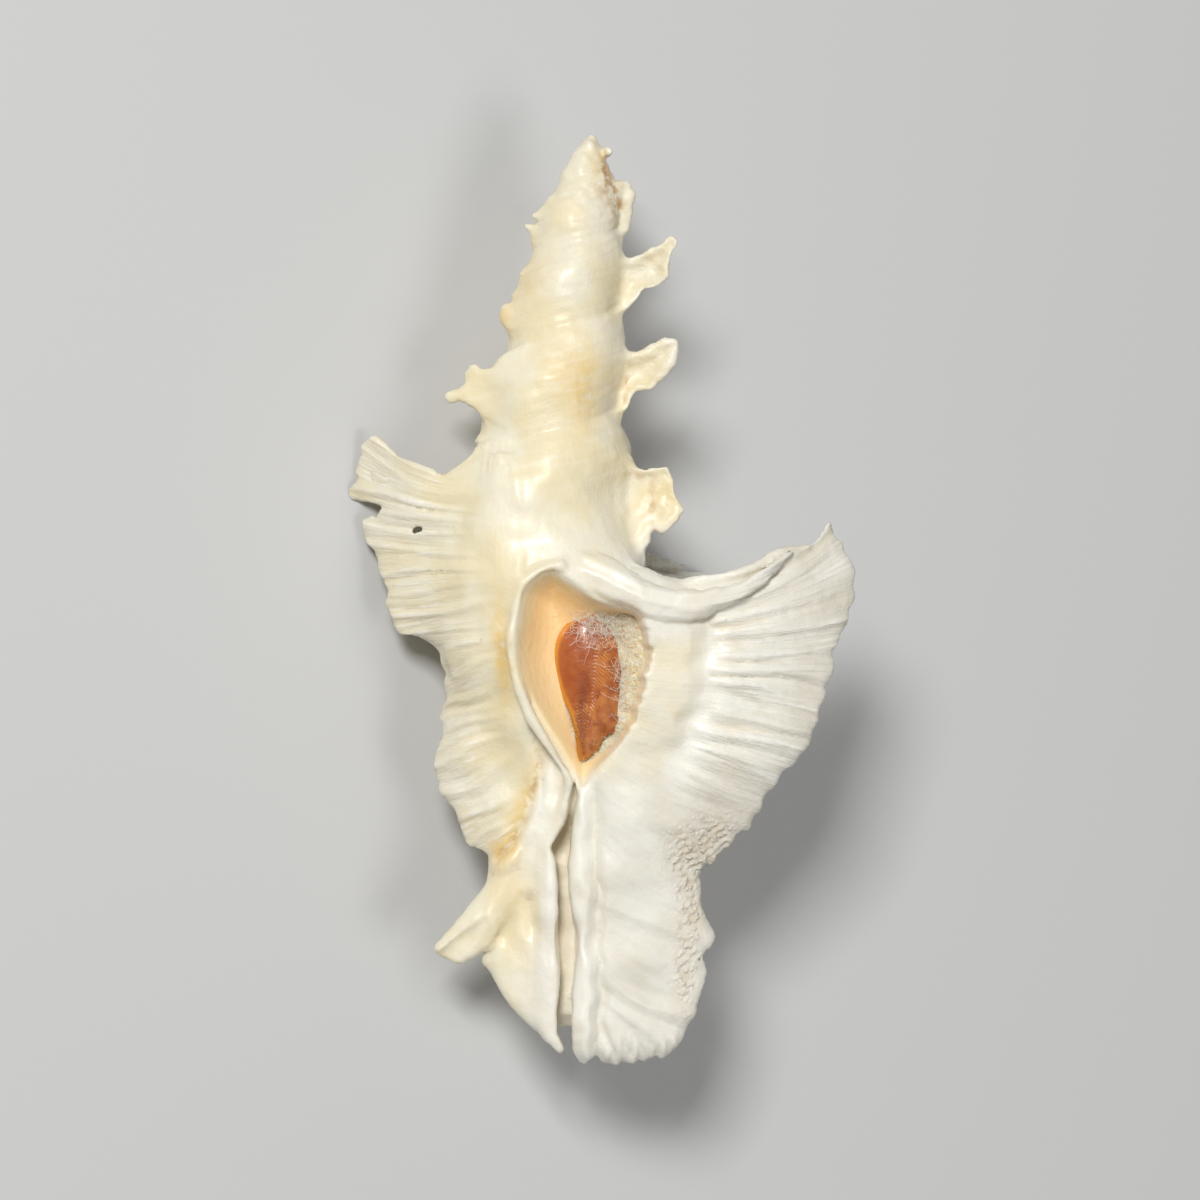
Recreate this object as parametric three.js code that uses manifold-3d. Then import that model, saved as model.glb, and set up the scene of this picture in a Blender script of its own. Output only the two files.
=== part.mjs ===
// A winged murex shell, 80 mm long, with its horny operculum set on a tuft of cotton wool in the aperture.
//
// The shell is worked out in a frame of its own, in millimetres: x across it, y along it towards the apex, and
// z out of the side that the aperture is on. The group at the end lays it down as it comes to rest on a table,
// rolled over on to the wing at its back and the wing on its left.
import * as THREE from "three";
import { mergeVertices } from "three/addons/utils/BufferGeometryUtils.js";
import Module from "manifold-3d";

// ---- Driving dimensions ----

const apexY = 40.2; // tip of the spire
const canalEndY = -38.4; // foot of the siphonal canal

// Growth: every whorl is the one above it, enlarged by this ratio from a point above the apex.
const whorlGrowth = 1.25;
const growthCentreY = 59.8;
const lastSutureDrop = 53.5; // from that point down to where the outer lip leaves the spire
const radiusPerDrop = 0.136; // whorl radius for each mm below that point
const axisLean = 0.13; // sideways drift of the coiling axis for each mm down from the apex
const apexX = -0.7;

const lipAzimuth = 118; // where the outer lip stands, seen from the apex: 0 is the back, 90 the right
const lipRadius = 9.8; // from the coiling axis to the outside of the whorl behind the lip

const canalX = -3.1; // the canal runs straight down from the aperture
const canalRadius = 3.1;
const canalEndRadius = 1.9;

const sheetRoot = 1.7; // thickness of a wing where it leaves the body
const sheetEdge = 0.7; // and at its free edge

const operculumThickness = 0.7;

// How the shell comes to rest: rolled about its length, then pitched.
const restRoll = -28.9;
const restPitch = -1.65;

// ---- Small helpers ----

const wasm = await Module();
wasm.setup();

const { clamp, lerp, smoothstep, degToRad } = THREE.MathUtils;
const vector = ([x, y, z]) => new THREE.Vector3(x, y, z);
const curveThrough = (points, closed = false) =>
  new THREE.CatmullRomCurve3(points.map(vector), closed, "catmullrom", 0.5);

// A closed geometry from its corner points and its faces, each a list of three or four corners.
function closedGeometry(points, faces) {
  const index = faces.flatMap((f) =>
    f.length === 3 ? f : [f[0], f[1], f[2], f[0], f[2], f[3]],
  );
  const geometry = new THREE.BufferGeometry().setFromPoints(points);
  geometry.setIndex(index);
  return geometry;
}

// Rings of points, each ring closed on itself, with a point at either end.
function ringedGeometry(rings, first, last) {
  const around = rings[0].length;
  const points = [...rings.flat(), first, last];
  const faces = [];
  const start = points.length - 2;
  for (let j = 0; j < around; j++) {
    const next = (j + 1) % around;
    faces.push([start, j, next]);
    for (let i = 0; i + 1 < rings.length; i++)
      faces.push([
        i * around + j,
        (i + 1) * around + j,
        (i + 1) * around + next,
        i * around + next,
      ]);
    const end = (rings.length - 1) * around;
    faces.push([end + j, start + 1, end + next]);
  }
  return closedGeometry(points, faces);
}

// A bent sheet: its middle surface at(u, v), with half its thickness laid on either side along normal.
function sheetGeometry(at, thickness, normal, columns, rows) {
  const side = [];
  for (const half of [0.5, -0.5])
    for (let i = 0; i <= columns; i++)
      for (let j = 0; j <= rows; j++) {
        const [u, v] = [i / columns, j / rows];
        side.push(
          at(u, v).addScaledVector(normal(u, v), half * thickness(u, v)),
        );
      }
  const id = (half, i, j) =>
    half * (columns + 1) * (rows + 1) + i * (rows + 1) + j;
  const faces = [];
  for (let i = 0; i < columns; i++)
    for (let j = 0; j < rows; j++) {
      const corners = [
        [i, j],
        [i + 1, j],
        [i + 1, j + 1],
        [i, j + 1],
      ];
      faces.push(corners.map(([a, b]) => id(0, a, b)));
      faces.push(corners.map(([a, b]) => id(1, a, b)).reverse());
    }
  const wall = (a, b) =>
    faces.push([id(0, ...b), id(0, ...a), id(1, ...a), id(1, ...b)]);
  for (let i = 0; i < columns; i++) {
    wall([i, 0], [i + 1, 0]);
    wall([i + 1, rows], [i, rows]);
  }
  for (let j = 0; j < rows; j++) {
    wall([0, j + 1], [0, j]);
    wall([columns, j], [columns, j + 1]);
  }
  return closedGeometry(side, faces);
}

// A geometry as a solid that can be joined and cut, turned right side out if need be.
function solid(geometry) {
  geometry.deleteAttribute("normal");
  geometry.deleteAttribute("uv");
  const merged = mergeVertices(geometry, 1e-4);
  const make = (triVerts) =>
    new wasm.Manifold(
      new wasm.Mesh({
        numProp: 3,
        vertProperties: merged.attributes.position.array,
        triVerts,
      }),
    );
  const triangles = new Uint32Array(merged.index.array);
  const made = make(triangles);
  if (made.volume() > 0) return made;
  for (let i = 0; i < triangles.length; i += 3)
    [triangles[i + 1], triangles[i + 2]] = [triangles[i + 2], triangles[i + 1]];
  return make(triangles);
}

function geometryOf(made) {
  const mesh = made.getMesh();
  const geometry = new THREE.BufferGeometry();
  geometry.setAttribute(
    "position",
    new THREE.BufferAttribute(mesh.vertProperties, 3),
  );
  geometry.setIndex(new THREE.BufferAttribute(mesh.triVerts, 1));
  geometry.computeVertexNormals();
  return geometry;
}

// ---- The coiled body: spire, body whorl and canal ----

const rightSide = 90; // azimuths run from the back (0) by the right (90) and the front (180) to the left (270)

// How far each height is from the coiling axis's own line: it leans in the spire, and is upright in the canal.
function centreX(y) {
  const leaning = apexX - axisLean * (apexY - y);
  return lerp(leaning, canalX, 1 - smoothstep(y, -15, 8));
}
const centreZ = (y) => 1.4 * (1 - smoothstep(y, -22, -8));

// Where between two sutures a point lies: 0 just under one suture, and 1 at the next one down.
function betweenSutures(azimuth, y) {
  const whorls =
    Math.log((growthCentreY - y) / lastSutureDrop) / Math.log(whorlGrowth);
  const turn = whorls - (azimuth - rightSide) / 360;
  return turn - Math.floor(turn);
}

// The last whorl is widest behind the outer lip, and half-hidden by it where it begins.
function lastWhorlRadius(azimuth) {
  const behindLip = (lipAzimuth - azimuth + 360) % 360;
  const grown = lipRadius * whorlGrowth ** (-behindLip / 360);
  return lerp(grown, lipRadius, smoothstep(behindLip, 280, 360));
}

function bodyRadius(azimuth, y) {
  const between = betweenSutures(azimuth, y);
  const whorlShape = 0.91 + 0.17 * Math.sin(Math.PI * between) ** 0.8;
  const tip =
    y > 30 ? Math.sqrt(Math.max(0, 1 - ((y - 30) / (apexY - 30)) ** 2)) : 1;
  const inSpire = radiusPerDrop * (growthCentreY - y) * whorlShape * tip;
  const coiled = lerp(lastWhorlRadius(azimuth), inSpire, smoothstep(y, 0, 9));
  const canal = lerp(canalRadius, canalEndRadius, clamp((-y - 18) / 20, 0, 1));
  const base = smoothstep(y, -19, -4);
  return lerp(canal, coiled, base ** 1.2);
}

function bodySolid() {
  const heights = 42;
  const around = 28;
  const rings = [];
  for (let i = 1; i < heights; i++) {
    const y = lerp(apexY, canalEndY, i / heights);
    const ring = [];
    for (let j = 0; j < around; j++) {
      const azimuth = (360 * j) / around;
      const radius = bodyRadius(azimuth, y);
      const angle = degToRad(azimuth);
      ring.push(
        new THREE.Vector3(
          centreX(y) + radius * Math.sin(angle),
          y,
          centreZ(y) - radius * Math.cos(angle),
        ),
      );
    }
    rings.push(ring);
  }
  const first = new THREE.Vector3(centreX(apexY), apexY, 0);
  const last = new THREE.Vector3(
    centreX(canalEndY),
    canalEndY,
    centreZ(canalEndY),
  );
  return solid(ringedGeometry(rings, first, last));
}

// ---- The wings: one bent, ribbed sheet along each of the last three growth stops ----

// Each rib line runs from a root, inside the body, to the free edge. Points are [x, y, z].
const rightWing = {
  ribs: 15,
  bulge: 0.9,
  topSag: 1.9,
  lines: [
    [[2, 3.4, 5.2], [19.9, 6.6, 1.6]],
    [[4, 0.6, 6.6], [21.9, 2.2, 1.4]],
    [[5, -2, 7.0], [21.2, -2.2, 2.0]],
    [[5, -4, 7.0], [19.8, -5.4, 2.6]],
    [[4.6, -6, 6.8], [19.0, -9.0, 2.8]],
    [[4, -8, 6.4], [17.7, -12.2, 2.8]],
    [[3, -10, 6.0], [15.6, -15.2, 2.7]],
    [[1.6, -12, 5.4], [13.6, -18.9, 2.4]],
    [[0, -14.5, 4.8], [10.0, -22.2, 2.2]],
    [[-1.6, -18, 4.2], [8.8, -26.0, 1.8]],
    [[-1.9, -22, 3.8], [9.7, -29.2, 1.4]],
    [[-2.0, -26.5, 3.5], [8.9, -33.4, 1.2]],
    [[-2.0, -31, 3.2], [6.8, -37.4, 1.2]],
    [[-2.0, -34.5, 3.0], [3.0, -39.9, 1.6]],
    [[-2.1, -36.5, 2.8], [-1.6, -40.0, 2.2]],
  ],
};
const leftWing = {
  ribs: 12,
  bulge: 0.5,
  topSag: 1.3,
  lines: [
    [[-9.5, 10.5, 2.6], [-19.6, 14.0, -0.6]],
    [[-9.5, 8.8, 2.9], [-21.2, 10.9, -1.2]],
    [[-9.5, 7.2, 3.1], [-20.6, 7.2, -1.2]],
    [[-9.5, 5.2, 3.2], [-19.8, 4.4, -0.8]],
    [[-9.6, 2.8, 3.2], [-18.9, 1.4, -0.2]],
    [[-9.8, 0.4, 3.1], [-18.0, -1.8, 0.4]],
    [[-9.6, -1.6, 3.0], [-14.6, -3.9, 1.6]],
    [[-9.0, -3.6, 2.9], [-13.1, -6.4, 1.9]],
    [[-8.2, -6.0, 2.8], [-13.6, -10.0, 1.6]],
    [[-7.2, -9.0, 2.8], [-14.3, -14.1, 1.2]],
    [[-6.2, -12.0, 2.8], [-12.7, -17.8, 1.0]],
    [[-5.4, -15.5, 2.7], [-11.4, -21.1, 1.0]],
    [[-4.6, -19.0, 2.6], [-9.4, -22.4, 1.6]],
  ],
};
// The back wing is drawn in its own plane, [out from the axis, y, off the plane], and turned to its azimuth.
const backWing = {
  ribs: 12,
  bulge: 0.8,
  topSag: 1.5,
  azimuth: 36,
  lines: [
    [[5, 6.5, 0], [19.2, 3.2, 1.6]],
    [[5.4, 5, 0], [23.3, 2.0, 1.2]],
    [[5.5, 3, 0], [22.2, -1.6, 0.8]],
    [[5.5, 0.5, 0], [21.6, -5.2, 0.3]],
    [[5.2, -2.5, 0], [21.8, -9.2, 0]],
    [[4.6, -6, 0], [18.9, -13, 0]],
    [[3.8, -9.5, 0], [16.0, -16.8, 0]],
    [[2.4, -13, 0], [13.4, -20, 0]],
    [[1.2, -17, 0], [10.2, -23.6, 0]],
    [[0.4, -22, 0], [6.2, -28.0, 0]],
  ],
};

function wingSolid(wing, columns, rows, place) {
  const root = curveThrough(wing.lines.map(([start]) => start));
  const edge = curveThrough(wing.lines.map(([, end]) => end));
  const at = (u, v) => {
    const point = root.getPoint(u).lerp(edge.getPoint(u), v);
    const flute = 0.3 * v * Math.cos(2 * Math.PI * wing.ribs * u);
    const bow = 4 * v * (1 - v);
    point.z += wing.bulge * bow + flute;
    point.y -= wing.topSag * bow * clamp(1 - 6 * u, 0, 1);
    return place(point);
  };
  const across = place(new THREE.Vector3(0, 0, 1))
    .sub(place(new THREE.Vector3()))
    .normalize();
  const thickness = (u, v) => lerp(sheetRoot, sheetEdge, v ** 0.7);
  return solid(
    sheetGeometry(at, thickness, () => across, columns, rows),
  );
}

// Turns a point of the back wing's plane to its azimuth about the leaning axis.
function placeBackWing(point) {
  const angle = degToRad(backWing.azimuth);
  const [out, off] = [point.x, point.z];
  return new THREE.Vector3(
    centreX(3) + out * Math.sin(angle) + off * Math.cos(angle),
    point.y,
    -out * Math.cos(angle) + off * Math.sin(angle),
  );
}

// ---- The spire's own growth stops: a hollow spine on the right, a short frill on the left and the back ----

// Each has a root on the whorl and a tip, with the top and foot of its root and its width at the tip.
const spines = [
  { root: [1.0, 8.2, 3.6], tip: [7.0, 9.2, 1.8], top: 11.8, foot: 4.0, width: 4.8 },
  { root: [0.6, 19.0, 2.0], tip: [6.6, 21.6, 1.6], top: 21.4, foot: 16.4, width: 1.7 },
  { root: [0.6, 27.2, 1.6], tip: [6.5, 30.7, 1.2], top: 29.6, foot: 24.6, width: 1.3 },
  { root: [0.2, 33.4, 1.0], tip: [2.8, 35.4, 0.8], top: 35.2, foot: 31.2, width: 1.2 },
  { root: [-8.0, 17.2, 2.2], tip: [-12.9, 17.6, 1.4], top: 20.4, foot: 14.6, width: 1.0 },
  { root: [-6.0, 25.0, 1.4], tip: [-8.3, 24.6, 1.0], top: 26.4, foot: 23.0, width: 1.2 },
  { root: [-4.6, 28.0, 1.2], tip: [-7.0, 27.9, 0.8], top: 29.4, foot: 26.2, width: 1.0 },
  { root: [-3.8, 32.8, 1.0], tip: [-6.3, 32.4, 0.6], top: 34.0, foot: 30.8, width: 0.9 },
  { root: [-1.2, 14.6, -4.6], tip: [2.6, 15.8, -11.4], top: 17.6, foot: 11.4, width: 1.8 },
  { root: [-1.0, 23.4, -3.4], tip: [1.6, 24.6, -8.4], top: 25.6, foot: 20.6, width: 1.4 },
  { root: [-1.0, 30.2, -2.4], tip: [0.9, 31.4, -6.0], top: 32.0, foot: 28.2, width: 1.2 },
];

function spineSolid({ root, tip, top, foot, width: tipWidth }) {
  const [start, end] = [vector(root), vector(tip)];
  const along = end.clone().sub(start).normalize();
  const up = new THREE.Vector3(0, 1, 0);
  const across = along.clone().cross(up).normalize();
  const at = (u, v) => {
    const point = start.clone().lerp(end, v);
    const rounded = 1 - 0.6 * smoothstep(v, 0.7, 1);
    const width = lerp(top - foot, tipWidth, v ** 0.7) * rounded;
    const middle = lerp((top + foot) / 2, end.y, v);
    point.y = middle + (0.5 - u) * width;
    return point;
  };
  const thickness = (u, v) => lerp(1.5, 0.8, v);
  return solid(sheetGeometry(at, thickness, () => across, 2, 4));
}

// ---- The aperture, its raised rim and the slit of the canal ----

// The mouth seen from the front, from its top corner round by the left. z is the height of the rim.
const mouth = [
  [-3.6, 2.3, 8.4],
  [-5.6, 1.4, 8.4],
  [-6.7, -1.4, 8.4],
  [-6.9, -4.8, 8.2],
  [-6.4, -8.2, 7.8],
  [-4.9, -11.6, 7.0],
  [-2.8, -14.6, 5.8],
  [-0.9, -14.4, 5.8],
  [1.6, -12.0, 6.4],
  [3.4, -8.6, 7.2],
  [4.2, -5.0, 7.6],
  [3.9, -2.0, 7.8],
  [1.4, 0.0, 8.0],
  [-1.4, 1.2, 8.2],
];
const mouthMiddle = new THREE.Vector3(-1.2, -5.6, 0);
const mouthDepth = 9.0;
const rimThickness = 1.3;
const mouthSteps = 28;

// A ring of the hollow: the mouth drawn in towards its middle, and lowered. depth runs from 0 to 1.
function mouthRing(depth, inset) {
  const line = curveThrough(mouth, true);
  const ring = [];
  const shrink = Math.sqrt(1 - depth ** 2);
  for (let i = 0; i < mouthSteps; i++) {
    const point = line.getPoint(i / mouthSteps);
    const rim = point.z;
    const out = point.clone().sub(mouthMiddle).setZ(0);
    out.multiplyScalar(shrink * (1 - inset / out.length()));
    ring.push(
      out.add(mouthMiddle).setZ(rim - (mouthDepth - inset) * depth),
    );
  }
  return ring;
}

function hollowSolid() {
  const rings = [0.96, 0.82, 0.62, 0.4, 0.2, 0].map((d) => mouthRing(d, 0));
  const mouthTop = mouthRing(0, 0).map((p) => p.setZ(12));
  const bottom = mouthMiddle.clone().setZ(7.2 - mouthDepth);
  const lid = mouthMiddle.clone().setZ(12);
  return solid(ringedGeometry([...rings, mouthTop], bottom, lid));
}

// The rim round the mouth, a round bead that stands up from the body.
function rimSolid() {
  const line = curveThrough(mouth, true);
  const rings = [];
  const sides = 6;
  for (let i = 0; i < mouthSteps; i++) {
    const point = line.getPoint(i / mouthSteps);
    const out = point.clone().sub(mouthMiddle).setZ(0).normalize();
    const ring = [];
    for (let k = 0; k < sides; k++) {
      const angle = (2 * Math.PI * k) / sides;
      ring.push(
        point
          .clone()
          .addScaledVector(out, rimThickness * (0.45 + Math.cos(angle) / 2))
          .add(new THREE.Vector3(0, 0, -0.6 + 1.2 * Math.sin(angle))),
      );
    }
    rings.push(ring);
  }
  const faces = [];
  for (let i = 0; i < mouthSteps; i++)
    for (let k = 0; k < sides; k++) {
      const [next, turn] = [(i + 1) % mouthSteps, (k + 1) % sides];
      faces.push([
        i * sides + k,
        next * sides + k,
        next * sides + turn,
        i * sides + turn,
      ]);
    }
  return solid(closedGeometry(rings.flat(), faces));
}

// The lip's thick outer band, between the mouth and the root of the right wing.
function lipBandSolid() {
  const inner = [
    [1.6, 2.6, 5.6],
    [3.6, -1.6, 6.8],
    [4.4, -5, 6.8],
    [3.4, -8.8, 6.2],
    [1.4, -12.4, 5.4],
    [-1.0, -15.4, 4.6],
  ];
  const outer = [
    [7.4, 1.4, 5.4],
    [8.4, -1.8, 5.8],
    [8.6, -5, 5.8],
    [7.8, -9.2, 5.4],
    [5.0, -13.4, 4.6],
    [1.6, -17.4, 3.8],
  ];
  const [near, far] = [curveThrough(inner), curveThrough(outer)];
  const at = (u, v) => near.getPoint(u).lerp(far.getPoint(u), v);
  const thickness = (u, v) => lerp(3.6, 2.2, v);
  const front = () => new THREE.Vector3(0, 0, 1);
  return solid(sheetGeometry(at, thickness, front, 10, 3));
}

// The lip's lamella, folded over the top of the right wing, with its free edge towards the canal.
function lamellaSolid() {
  const upper = curveThrough([
    [1.5, 1.6, 7.6],
    [5, 1.0, 7.6],
    [9, 0.9, 6.6],
    [12.5, 1.9, 5.4],
    [15.6, 3.4, 4.2],
  ]);
  const lower = curveThrough([
    [3.2, -1.4, 8.0],
    [6, -1.9, 7.9],
    [9.5, -1.3, 7.0],
    [12.5, 0.1, 5.9],
    [14.9, 1.9, 4.8],
  ]);
  const at = (u, v) => {
    const point = upper.getPoint(u).lerp(lower.getPoint(u), v);
    point.z += 0.5 * 4 * v * (1 - v);
    return point;
  };
  const front = () => new THREE.Vector3(0, 0, 1);
  const thickness = (u, v) => lerp(2.6, 1.4, v) * lerp(1, 0.6, u);
  return solid(sheetGeometry(at, thickness, front, 12, 3));
}

// The canal's two plates: the left one ends in a point, and the last canal before it stands out as a spur.
function canalPlateSolid() {
  const outline = new THREE.Shape();
  outline.moveTo(-3.9, -13.5);
  for (const [x, y] of [
    [-5.6, -14.5],
    [-6.4, -19],
    [-9.2, -23],
    [-9.6, -26],
    [-10.1, -30.8],
    [-8.2, -34.1],
    [-5.6, -36.9],
    [-3.3, -38.7],
    [-3.7, -36],
    [-3.6, -24],
  ])
    outline.lineTo(x, y);
  const plate = new THREE.ExtrudeGeometry(outline, {
    depth: 1.6,
    bevelEnabled: false,
  });
  plate.translate(0, 0, 1.8);
  return solid(plate);
}

function spurSolid() {
  const path = curveThrough([
    [-6.2, -22.8, 2.0],
    [-9.0, -26.4, 2.4],
    [-12.8, -29.9, 2.8],
  ]);
  const section = new THREE.Shape();
  section.absellipse(0, 0, 1.5, 1.7, 0, 2 * Math.PI);
  return solid(
    new THREE.ExtrudeGeometry(section, {
      steps: 6,
      curveSegments: 5,
      extrudePath: path,
    }),
  );
}

// The canal's slit, open to the front from the mouth to its foot.
function slitSolid() {
  const middle = curveThrough([
    [-2.2, -13.2, 0],
    [-2.6, -17, 0],
    [-3.2, -21, 0],
    [-3.3, -27, 0],
    [-2.9, -32, 0],
    [-3.1, -39.4, 0],
  ]);
  const [floor, above] = [1.5, 9];
  const at = (u, v) => middle.getPoint(u).setZ(lerp(floor, above, v));
  const right = () => new THREE.Vector3(1, 0, 0);
  return solid(sheetGeometry(at, () => 1.2, right, 8, 1));
}

function shellSolid() {
  const stay = (point) => point;
  const parts = [
    wingSolid(rightWing, 60, 5, stay),
    wingSolid(leftWing, 48, 4, stay),
    wingSolid(backWing, 48, 4, placeBackWing),
    ...spines.map(spineSolid),
    rimSolid(),
    lipBandSolid(),
    lamellaSolid(),
    canalPlateSolid(),
    spurSolid(),
  ];
  const whole = parts.reduce((sum, part) => sum.add(part), bodySolid());
  const opened = whole.subtract(hollowSolid()).subtract(slitSolid());
  // Pockets closed in between overlapping pieces are shell too, so only the outer surface is kept.
  const surfaces = opened.decompose();
  return surfaces.sort((a, b) => b.volume() - a.volume())[0];
}

// ---- What lies in the aperture ----

// The operculum, a thin leaf-shaped plate, narrow at its foot, set back from the rim.
function operculumSolid() {
  const outline = new THREE.Shape();
  outline.moveTo(-1.8, -13.2);
  outline.bezierCurveTo(-2.2, -11.0, -4.2, -8.0, -4.0, -4.8);
  outline.bezierCurveTo(-3.8, -2.6, -2.6, -1.2, -1.6, -1.4);
  outline.bezierCurveTo(0.6, -1.6, 1.9, -4.2, 1.9, -6.6);
  outline.bezierCurveTo(1.9, -9.6, 1.2, -11.2, 0.2, -12.0);
  outline.bezierCurveTo(-0.4, -12.8, -1.2, -13.2, -1.8, -13.2);
  const plate = new THREE.ExtrudeGeometry(outline, {
    depth: operculumThickness,
    bevelEnabled: false,
    curveSegments: 7,
  });
  plate.translate(0, 0, 3.3);
  return plate;
}

// The cotton wool that the operculum is set on: it fills the mouth's hollow behind it and to its right.
function cottonGeometry() {
  const gap = 0.6;
  const rings = [0.94, 0.8, 0.6].map((d) => mouthRing(d, gap));
  const front = mouthRing(0.6, gap + 1.2).map((p) => p.setZ(2.9));
  const bottom = mouthMiddle.clone().setZ(7.4 - mouthDepth + gap);
  const top = mouthMiddle.clone().setZ(2.9);
  return ringedGeometry([...rings, front], bottom, top);
}

// ---- The whole, laid down as it rests ----

function piece(name, geometry, color, roughness) {
  const material = new THREE.MeshStandardMaterial({
    color,
    roughness,
    metalness: 0,
    side: THREE.DoubleSide,
  });
  const mesh = new THREE.Mesh(geometry, material);
  mesh.name = name;
  return mesh;
}

const shellFrame = new THREE.Group();
shellFrame.add(
  piece("shell", geometryOf(shellSolid()), 0xefe8d6, 0.42),
  piece("operculum", operculumSolid(), 0x8a3f1c, 0.3),
  piece("cotton_wool", geometryOf(solid(cottonGeometry())), 0xe9e1d0, 0.95),
);
shellFrame.rotation.set(degToRad(restPitch), degToRad(restRoll), 0, "YXZ");
shellFrame.updateMatrixWorld(true);

const murex = new THREE.Group();
murex.add(shellFrame);
const box = new THREE.Box3().setFromObject(murex, true);
const middle = box.getCenter(new THREE.Vector3());
shellFrame.position.set(-middle.x, -middle.y, -box.min.z);

export default murex;
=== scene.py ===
import math

import bpy
import numpy as np
import openvdb
from mathutils import Matrix, Vector


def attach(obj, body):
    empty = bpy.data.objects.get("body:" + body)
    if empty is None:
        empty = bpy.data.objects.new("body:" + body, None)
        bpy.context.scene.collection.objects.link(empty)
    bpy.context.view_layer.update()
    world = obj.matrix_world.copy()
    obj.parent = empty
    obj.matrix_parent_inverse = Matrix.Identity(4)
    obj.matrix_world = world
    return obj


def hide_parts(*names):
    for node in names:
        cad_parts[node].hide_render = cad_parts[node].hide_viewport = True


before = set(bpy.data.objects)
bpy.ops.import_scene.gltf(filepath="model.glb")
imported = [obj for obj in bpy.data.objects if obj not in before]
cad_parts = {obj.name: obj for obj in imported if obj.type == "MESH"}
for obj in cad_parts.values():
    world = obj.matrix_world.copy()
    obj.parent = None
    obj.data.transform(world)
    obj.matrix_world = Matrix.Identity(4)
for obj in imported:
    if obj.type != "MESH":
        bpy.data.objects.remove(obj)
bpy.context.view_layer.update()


# ---- The body of the shell ----
# A limy tube coiled to the right into a tall spire, ending in the open mouth and a straight canal below it.
# It is laid down by the animal layer by layer. It is worked out in millimetres, x across, y towards the
# apex and z out of the side the mouth is on, on a grid of distances from its surface.
roll = math.radians(-28.9)
pitch = math.radians(-1.65)
laid_down = Matrix.Translation((-0.00028, -0.00007, 0.01207)) @ (
    Matrix.Rotation(roll, 4, "Y") @ Matrix.Rotation(pitch, 4, "X")
)

cell = 0.2
grid_x = np.arange(-23.0, 23.2, cell, dtype=np.float32)
grid_y = np.arange(-41.6, 41.6, cell, dtype=np.float32)
grid_z = np.arange(-21.0, 10.8, cell, dtype=np.float32)
x = grid_x[:, None, None]
y = grid_y[None, :, None]
z = grid_z[None, None, :]

apex_y = 40.2
whorl_growth = 1.25
growth_centre_y = 59.8
lip_azimuth = 118
lip_radius = 9.8


def step(low, high, value):
    t = np.clip((value - low) / (high - low), 0, 1)
    return t * t * (3 - 2 * t)


def mix(a, b, t):
    return a + (b - a) * t


def axis_x(height):
    leaning = -0.7 - 0.13 * (apex_y - height)
    return mix(leaning, -3.1, 1 - step(-15, 8, height))


def axis_z(height):
    return 1.4 * (1 - step(-22, -8, height))


def body_radius(azimuth, height):
    """The tube's own outline, azimuth in degrees from the back by the right, the front and the left."""
    drop = np.maximum(growth_centre_y - height, 1)
    turn = np.log(drop / 53.5) / math.log(whorl_growth) - (azimuth - 90) / 360
    between = turn - np.floor(turn)
    rounded = 0.925 + 0.125 * np.sin(np.pi * between) ** 0.8
    rounded += 0.02 * np.sin(np.pi * between * 2)
    knob = np.cos(np.radians((azimuth - 205) * 3)) * np.sin(np.pi * between) ** 2
    rounded += 0.03 * knob
    rounded -= 0.06 * np.maximum(0, np.cos(np.radians(azimuth - 85))) * step(12, 16, height)
    tip = np.maximum(0, 1 - (np.maximum(height - 30, 0) / 10.2) ** 2) ** 0.65
    spire = 0.136 * drop * rounded * tip
    behind_lip = np.mod(lip_azimuth - azimuth, 360)
    grown = lip_radius * whorl_growth ** (-behind_lip / 360)
    last = mix(grown, lip_radius, step(280, 360, behind_lip))
    coiled = mix(last, spire, step(0, 9, height))
    canal = mix(3.1, 1.9, np.clip((-height - 18) / 20, 0, 1))
    foot = step(-37.6, -39.0, height) * canal
    return mix(canal, coiled, step(-19, -4, height) ** 1.2) - foot


around = np.linspace(0, 360, 721)[:, None]
radius_table = body_radius(around, grid_y[None, :]).astype(np.float32)
out_x = x - axis_x(y).astype(np.float32)
out_z = z - axis_z(y).astype(np.float32)
turned = np.degrees(np.arctan2(out_x, -out_z)) % 360 * 2
low = turned.astype(np.int32)
np.clip(low, 0, 719, out=low)
part = turned - low
rows = np.arange(len(grid_y))[None, :, None]
shell = np.sqrt(out_x**2 + out_z**2)
shell -= radius_table[low, rows] * (1 - part) + radius_table[low + 1, rows] * part
shell *= 0.93
np.maximum(shell, y - apex_y, out=shell)
del turned, low, part, out_x, out_z


def curve(points, count):
    """A smooth line through the points, sampled evenly between them."""
    p = np.array(points, float)
    p = np.vstack([2 * p[0] - p[1], p, 2 * p[-1] - p[-2]])
    t = np.linspace(0, len(p) - 3 - 1e-9, count)
    i = t.astype(int)
    f = (t - i)[:, None]
    a, b, c, d = p[i], p[i + 1], p[i + 2], p[i + 3]
    return 0.5 * (2 * b + (c - a) * f + (2 * a - 5 * b + 4 * c - d) * f**2 + (3 * b - a - 3 * c + d) * f**3)


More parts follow.
